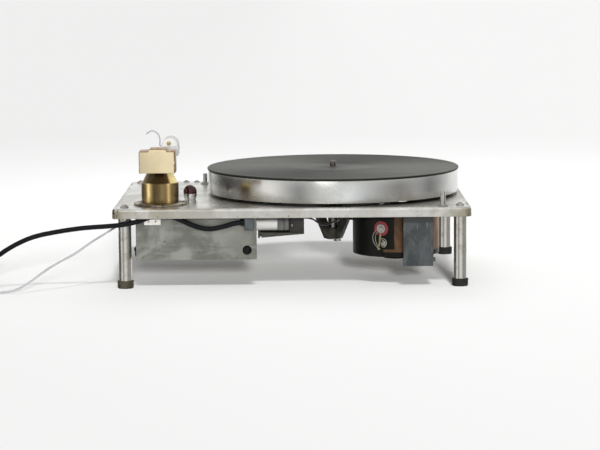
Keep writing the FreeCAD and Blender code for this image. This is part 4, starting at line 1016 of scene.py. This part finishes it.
bm = bmesh.new()
outer = [bm.verts.new(Vector(p) * MM) for p in arch_outline(HEAD_RADIUS, 127.5, 150, 109.2)]
rear = bm.faces.new(outer)
pushed = bmesh.ops.extrude_face_region(bm, geom=[rear])["geom"]
front_verts = [item for item in pushed if isinstance(item, bmesh.types.BMVert)]
bmesh.ops.translate(bm, vec=(0, 35.8 * MM, 0), verts=front_verts)
bmesh.ops.recalc_face_normals(bm, faces=bm.faces)
below = [face for face in bm.faces if face.normal.z < -0.9]
rims = [edge for edge in bm.edges
        if len(edge.link_faces) == 2 and not any(face in below for face in edge.link_faces)
        and edge.calc_face_angle() > 1.2]
bmesh.ops.bevel(bm, geom=rims, offset=1.5 * MM, offset_type="OFFSET", affect="EDGES",
                segments=4, profile=0.5, material=-1)
below = [face for face in bm.faces if face.normal.z < -0.9 and face.calc_area() > 1e-5]
bmesh.ops.delete(bm, geom=below, context="FACES")
bmesh.ops.recalc_face_normals(bm, faces=bm.faces)
bmesh.ops.solidify(bm, geom=bm.faces[:], thickness=1.5 * MM)
piece("headshell_arch", bm, "arm", "arm_enamel", ["headshell"])

bm = bmesh.new()
slotted_head(bm, (HEAD_X - 1.0, 109.25, 143.0), (0, -1, 0), 2.7, 1.4, 1.1, 12)
piece("headshell_screw", bm, "arm", "plug_brass")
bm = bmesh.new()
slab(bm, (-142.0, -140.4), (112, 124), (134.9, 138.2), 0.5, 2)
piece("turnover_knob", bm, "arm", "cartridge_black")

# %% Finger lift
side_x, lift_y = HEAD_X - HEAD_RADIUS, 115.0
LIFT = [(0.4, 139.4), (-2.2, 139.4), (-2.0, 143), (-1.8, 148.5), (-3.4, 154), (-8.4, 158.2),
        (-14.0, 158.8), (-18.6, 154.6)]
wire("finger_lift_wire", [(side_x + dx, lift_y, z) for dx, z in LIFT], 0.75, "lift_wire",
     "arm", ["finger_lift"])

# %% [markdown]
# ## Lamp and controls
# The pilot lamp is a dark red dome held in a bright turned cup. The two controls are
# plain steel spindles in threaded bushes; their knobs are gone.

# %% Lamp
LAMP = (-118.9, -61.0, 0)
bm = bmesh.new()
turn(bm, [(4, 78), (5.7, 78), (6, 78.4), (6, 92), (6.2, 92), (6.6, 93), (7.15, 94.6),
          (7.5, 96.1), (7.72, 97.4), (7.8, 98.9), (7.7, 99.3), (7.3, 99.4), (5.5, 99.4),
          (5.5, 97), (4, 97), (4, 78)], LAMP, steps=64)
turn(bm, [(6.05, 87.5), (8.6, 87.5), (9.0, 87.9), (9.0, 90.1), (8.6, 90.5), (6.05, 90.5),
          (6.05, 87.5)], LAMP, steps=6)
piece("lamp_cup", bm, "chassis", "bezel_chrome", ["lamp_bezel"])
turned_piece("lamp_dome", [(0, 97), (5.4, 97), (5.4, 99.4), (7.5, 99.4), (7.75, 99.8)] +
    [(r, 101.6 + h) for r, h in dome_outline(7.78, 7.75, 18)], LAMP, "chassis", "jewel_red",
    ["lamp_jewel"], steps=64)

# %% Control spindles
for name, (x, y), radius, bottom, top in (("switch", (-108.4, 111.0), 2.7, 78, 105.5),
                                          ("speed", (170.6, -147.5), 3.15, 82, 110)):
    turned_piece(f"{name}_spindle_turned", [(0, bottom), (radius - 0.3, bottom),
        (radius, bottom + 0.3), (radius, top - 4.2), (radius - 0.25, top - 4),
        (radius - 0.25, top - 3.4), (radius, top - 3.2), (radius, top - 0.9),
        (radius - 0.6, top - 0.2), (radius - 1.2, top), (0, top)], (x, y, 0), f"{name}_spindle",
        "control_steel", [f"{name}_spindle"], steps=40)
bm = bmesh.new()
for (x, y), radius in (((-108.4, 111.0), 2.7), ((170.6, -147.5), 3.15)):
    turn(bm, [(radius + 0.05, 90.5), (5, 90.5), (5, 94), (4.8, 94.2), (radius + 0.05, 94.2),
              (radius + 0.05, 90.5)], (x, y, 0), steps=40)
    turn(bm, [(5.0, 92), (6.2, 92), (6.4, 92.2), (6.4, 92.9), (6.1, 93.2), (5.0, 93.2), (5.0, 92)],
         (x, y, 0), steps=6)
piece("spindle_bush_nuts", bm, "chassis", "screw_steel", ["spindle_bushes"])

# %% [markdown]
# ## Under the plate
# Behind the lip hang the capacitor and its metal block, the switch on a folded bracket,
# the bearing in its cast spider, and the motor with its junction box and earth tags.

# %% Capacitor and block
turned_piece("capacitor_tube", [(0, 0.8), (6.2, 0.8), (6.8, 0), (7.6, 0.1), (8.0, 0.7),
    (8.0, 24.8), (7.6, 25.4), (6.8, 25.5), (6.2, 24.7), (0, 24.7)], (-42, -115, 70), "chassis",
    "capacitor_sleeve", ["run_capacitor"], axis=(1, 0, 0), steps=64)
bm = bmesh.new()
slab(bm, (-16.5, -9.3), (-122.4, -107.4), (62.7, 77.4), 0.5, 2)
slab(bm, (-9.6, -2.9), (-123, -107), (62.5, 77.5), 1.6, 4)
piece("zinc_block", bm, "chassis", "block_zinc")

# %% Switch
bm = bmesh.new()
slab(bm, (-2.8, 13.8), (-124.8, -105.5), (60.5, 80), 0.6, 2)
slab(bm, (-2.0, 2.0), (-125.6, -124.4), (66.6, 71.6), 0.3, 1)
turn(bm, [(0, 0), (1.5, 0), (1.5, 0.5), (1.1, 0.8), (0, 0.8)], (10.6, -124.8, 64), (0, -1, 0), 24)
turn(bm, [(0, 0), (1.5, 0), (1.5, 0.5), (1.1, 0.8), (0, 0.8)], (10.6, -124.8, 76), (0, -1, 0), 24)
piece("microswitch_case", bm, "chassis", "switch_phenolic", ["microswitch"])
bm = bmesh.new()
slab(bm, (-1.0, 1.0), (-126.5, -125.3), (67.8, 70.4), 0.3, 2)
piece("microswitch_plunger", bm, "chassis", "phenolic_mark")

# %% Hookup wires
SWITCH_WIRE = [(13.8, -116, 76), (21, -116, 76), (29, -111.5, 71.5), (36, -101, 67),
               (44, -88, 66), (53, -74, 68), (63, -62, 73), (72, -52, 79)]
MOTOR_WIRE = [(72, -58, 80), (66, -66, 75), (62, -76, 72), (64, -87, 71), (70.3, -95, 71.5)]
for i, (dy, dz, finish) in enumerate(((0, 0, "wire_brown"), (0.9, 1.6, "wire_black"),
                                      (-0.9, 1.5, "wire_brown"))):
    swing = [(x, y + dy * math.cos(k * 1.3), z + dz * math.cos(k * 1.1))
             for k, (x, y, z) in enumerate(SWITCH_WIRE)]
    wire(f"switch_wire_{i}", swing, 0.85, finish)
for i, (dx, dz, finish) in enumerate(((0, 0, "wire_black"), (1.6, 0.8, "wire_brown"))):
    wire(f"motor_wire_{i}", [(x + dx, y, z + dz) for x, y, z in MOTOR_WIRE], 0.85,
                       finish)
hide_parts("hookup_wires")

# %% [markdown]
# The junction box is a folded steel cover: the front is one flat sheet whose edges are
# turned back, and one screw at its side holds it. The earth stud carries a red fibre
# washer, a round solder tag with its barrel pointing down, and bare strands that loop
# from a smaller tag.

# %% Junction box
bm = bmesh.new()
slab(bm, (126.0, 160.0), (-148.0, -146.4), (24, 90.4), 0.7, 3)
slab(bm, (126.2, 127.6), (-147, -133.2), (24.2, 90.4), 0.3, 1)
slab(bm, (158.4, 159.9), (-147, -119.5), (24.2, 90.4), 0.3, 1)
slab(bm, (127.0, 159.0), (-147, -137.0), (24.2, 25.6), 0.3, 1)
turn(bm, [(0, 0), (2.4, 0), (2.6, 0.6), (2.5, 2.2), (1.9, 2.9), (0, 3.0)], (159.8, -142, 31),
     (1, 0, 0), 32)
piece("junction_cover", bm, "chassis", "junction_paint", ["junction_box"])

# %% Earth stud, washer and tags
STUD_BEARING = math.radians(-112.3)
OUT = Vector((math.cos(STUD_BEARING), math.sin(STUD_BEARING), 0))
SIDE = Vector((-OUT.y, OUT.x, 0))
STUD = Vector((121, -85, 65.2)) + OUT * 50.6


def by_stud(along, rise, out):
    """A point beside the earth stud, in millimetres."""
    return STUD + SIDE * along + Vector((0, 0, rise)) + OUT * out


turned_piece("fibre_washer", [(2.05, 0.2), (8.2, 0.2), (8.5, 0.4), (8.5, 0.9), (8.2, 1.2),
    (2.05, 1.2), (2.05, 0.2)], by_stud(0, 0, 0), "chassis", "red_fibre", ["red_washer"], axis=OUT,
    steps=56)
bm = bmesh.new()
turn(bm, [(0, 0), (2, 0), (2, 3.9), (1.7, 4.2), (0, 4.2)], by_stud(0, 0, 0), OUT, 32)
turn(bm, [(3.0, 1.2), (5.1, 1.2), (5.3, 1.5), (5.0, 2.0), (3.0, 2.0), (3.0, 1.2)],
     by_stud(0, 0, 0), OUT, 48)
turn(bm, [(0, 2.0), (3.3, 2.0), (3.3, 3.0), (2.9, 3.4), (0, 3.4)], by_stud(0, 0, 0), OUT, 6)
turn(bm, [(1.5, 0.3), (3.1, 0.3), (3.3, 0.6), (3.1, 1.0), (1.5, 1.0), (1.5, 0.3)],
     by_stud(3.6, -17, 0), OUT, 40)
turn(bm, [(0, 0.2), (1.5, 0.2), (1.5, 1.6), (1.1, 2.1), (0, 2.2)], by_stud(3.6, -17, 0), OUT, 32)
piece("earth_tag_rings", bm, "chassis", "tinned_tag", ["earth_terminals"])
bm = bmesh.new()
turn(bm, [(0, 0), (0.9, 0), (1.2, 0.8), (1.35, 4), (1.3, 14.2), (0.9, 15.6), (0, 15.8)],
     by_stud(0, -5.0, 2.4), (-0.13, 0, -1), 28)
turn(bm, [(0, 0), (1.5, 0.1), (1.9, 0.8), (1.9, 1.8), (1.5, 2.5), (0, 2.6)],
     by_stud(-2.3, -21.6, 2.4), (0, 0, -1), 28)
piece("earth_tag_barrel", bm, "chassis", "tag_brass")
STRANDS = {
    "left": [(-5.0, -1, 2.6), (-9.0, -6, 3.4), (-9.4, -12, 3.8), (-6.6, -19, 3.6),
             (-2.6, -22.6, 3)],
    "inner": [(-4.6, -4, 2.6), (-6.4, -8, 3.2), (-6.0, -14, 3.4), (-3.6, -19.6, 3.2),
              (-2.4, -22, 3)],
    "loop": [(0.8, -11, 3.4), (4.6, -10.8, 3.6), (7.6, -14, 3.6), (6.9, -19, 3.4),
             (3.6, -21.4, 3.2), (0.8, -19.6, 3.2), (1.0, -15, 3.2)],
    "small": [(1.0, -12.6, 3.0), (3.8, -13, 3.2), (5.4, -16, 3.2), (4.4, -19, 3.0),
              (2.0, -19, 2.8)],
}
for name, offsets in STRANDS.items():
    wire(f"earth_strand_{name}", [tuple(by_stud(*o)) for o in offsets], 0.32, "wire_pale")

# %% [markdown]
# ## Power box details
# The box keeps its CAD shape. It gains the domed plugs and brass screws in the white
# terminal block's holes.

# %% Box details
bm = bmesh.new()
for centre, axis, radius in (((-51, -145, 43.5), (0, -1, 0), 5.2),
                             ((-176.8, -128, 43), (-1, 0, 0), 4.4)):
    turn(bm, [(0, 0), (radius, 0), (radius, 0.5)] + [(r, h + 0.1) for r, h in
                                                     dome_outline(radius - 0.15, 3.5, 12)],
         centre, axis, 48)
piece("box_plug_domes", bm, "chassis", "black_gloss", ["box_plugs"])
bm = bmesh.new()
for x in (-162.0, -154.0):
    slotted_head(bm, (x, -145.4, 77.0), (0, -1, 0), 1.15, 0.5, 0.35, 20)
piece("terminal_screws", bm, "chassis", "plug_brass")

# %% [markdown]
# ## Finishes for the CAD parts that stay
# These parts keep the shape that the CAD gives them. Each gets the finish of its slot
# in every material slot of its object.

# %% Dress the CAD parts
DRESS = {
    "plate": ["chassis_plate"], "leg_metal": ["legs"],
    "bearing_steel": ["bearing_housing", "bearing_end_nut"], "bronze": ["bearing_bushes"],
    "screw_steel": ["thrust_ball"], "spider_iron": ["bearing_spider"],
    "motor_copper": ["motor_can"], "motor_black": ["motor_housing", "motor_base"],
    "stator_steel": ["motor_stator", "motor_rotor"], "coil_tape": ["motor_coils"],
    "spindle_steel": ["motor_shaft"], "lever_steel": ["idler_lever"],
    "idler_aluminium": ["idler_wheel"], "mat_rubber": ["idler_tyre"],
    "box_aluminium": ["preamp_box"], "clamp_steel": ["cable_clamp"],
    "transformer_steel": ["transformer"],
    "board_brown": ["tag_board"], "white_nylon": ["terminal_block"],
    "bracket_steel": ["switch_bracket"], "switch_phenolic": ["rotary_switch"],
    "yoke_steel": ["arm_yoke"], "arm_enamel": ["arm_beam"], "cartridge_black": ["cartridge"],
    "rest_white": ["arm_rest"],
}
for finish, names in DRESS.items():
    for name in names:
        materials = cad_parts[name].data.materials
        if not materials:
            materials.append(FINISHES[finish])
        for i in range(len(materials)):
            materials[i] = FINISHES[finish]
kept_cad = [n for n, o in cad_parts.items() if not o.hide_render]
bare = sorted(set(kept_cad) - {n for names in DRESS.values() for n in names})
print("CAD parts shown", len(kept_cad), "without a finish", bare)
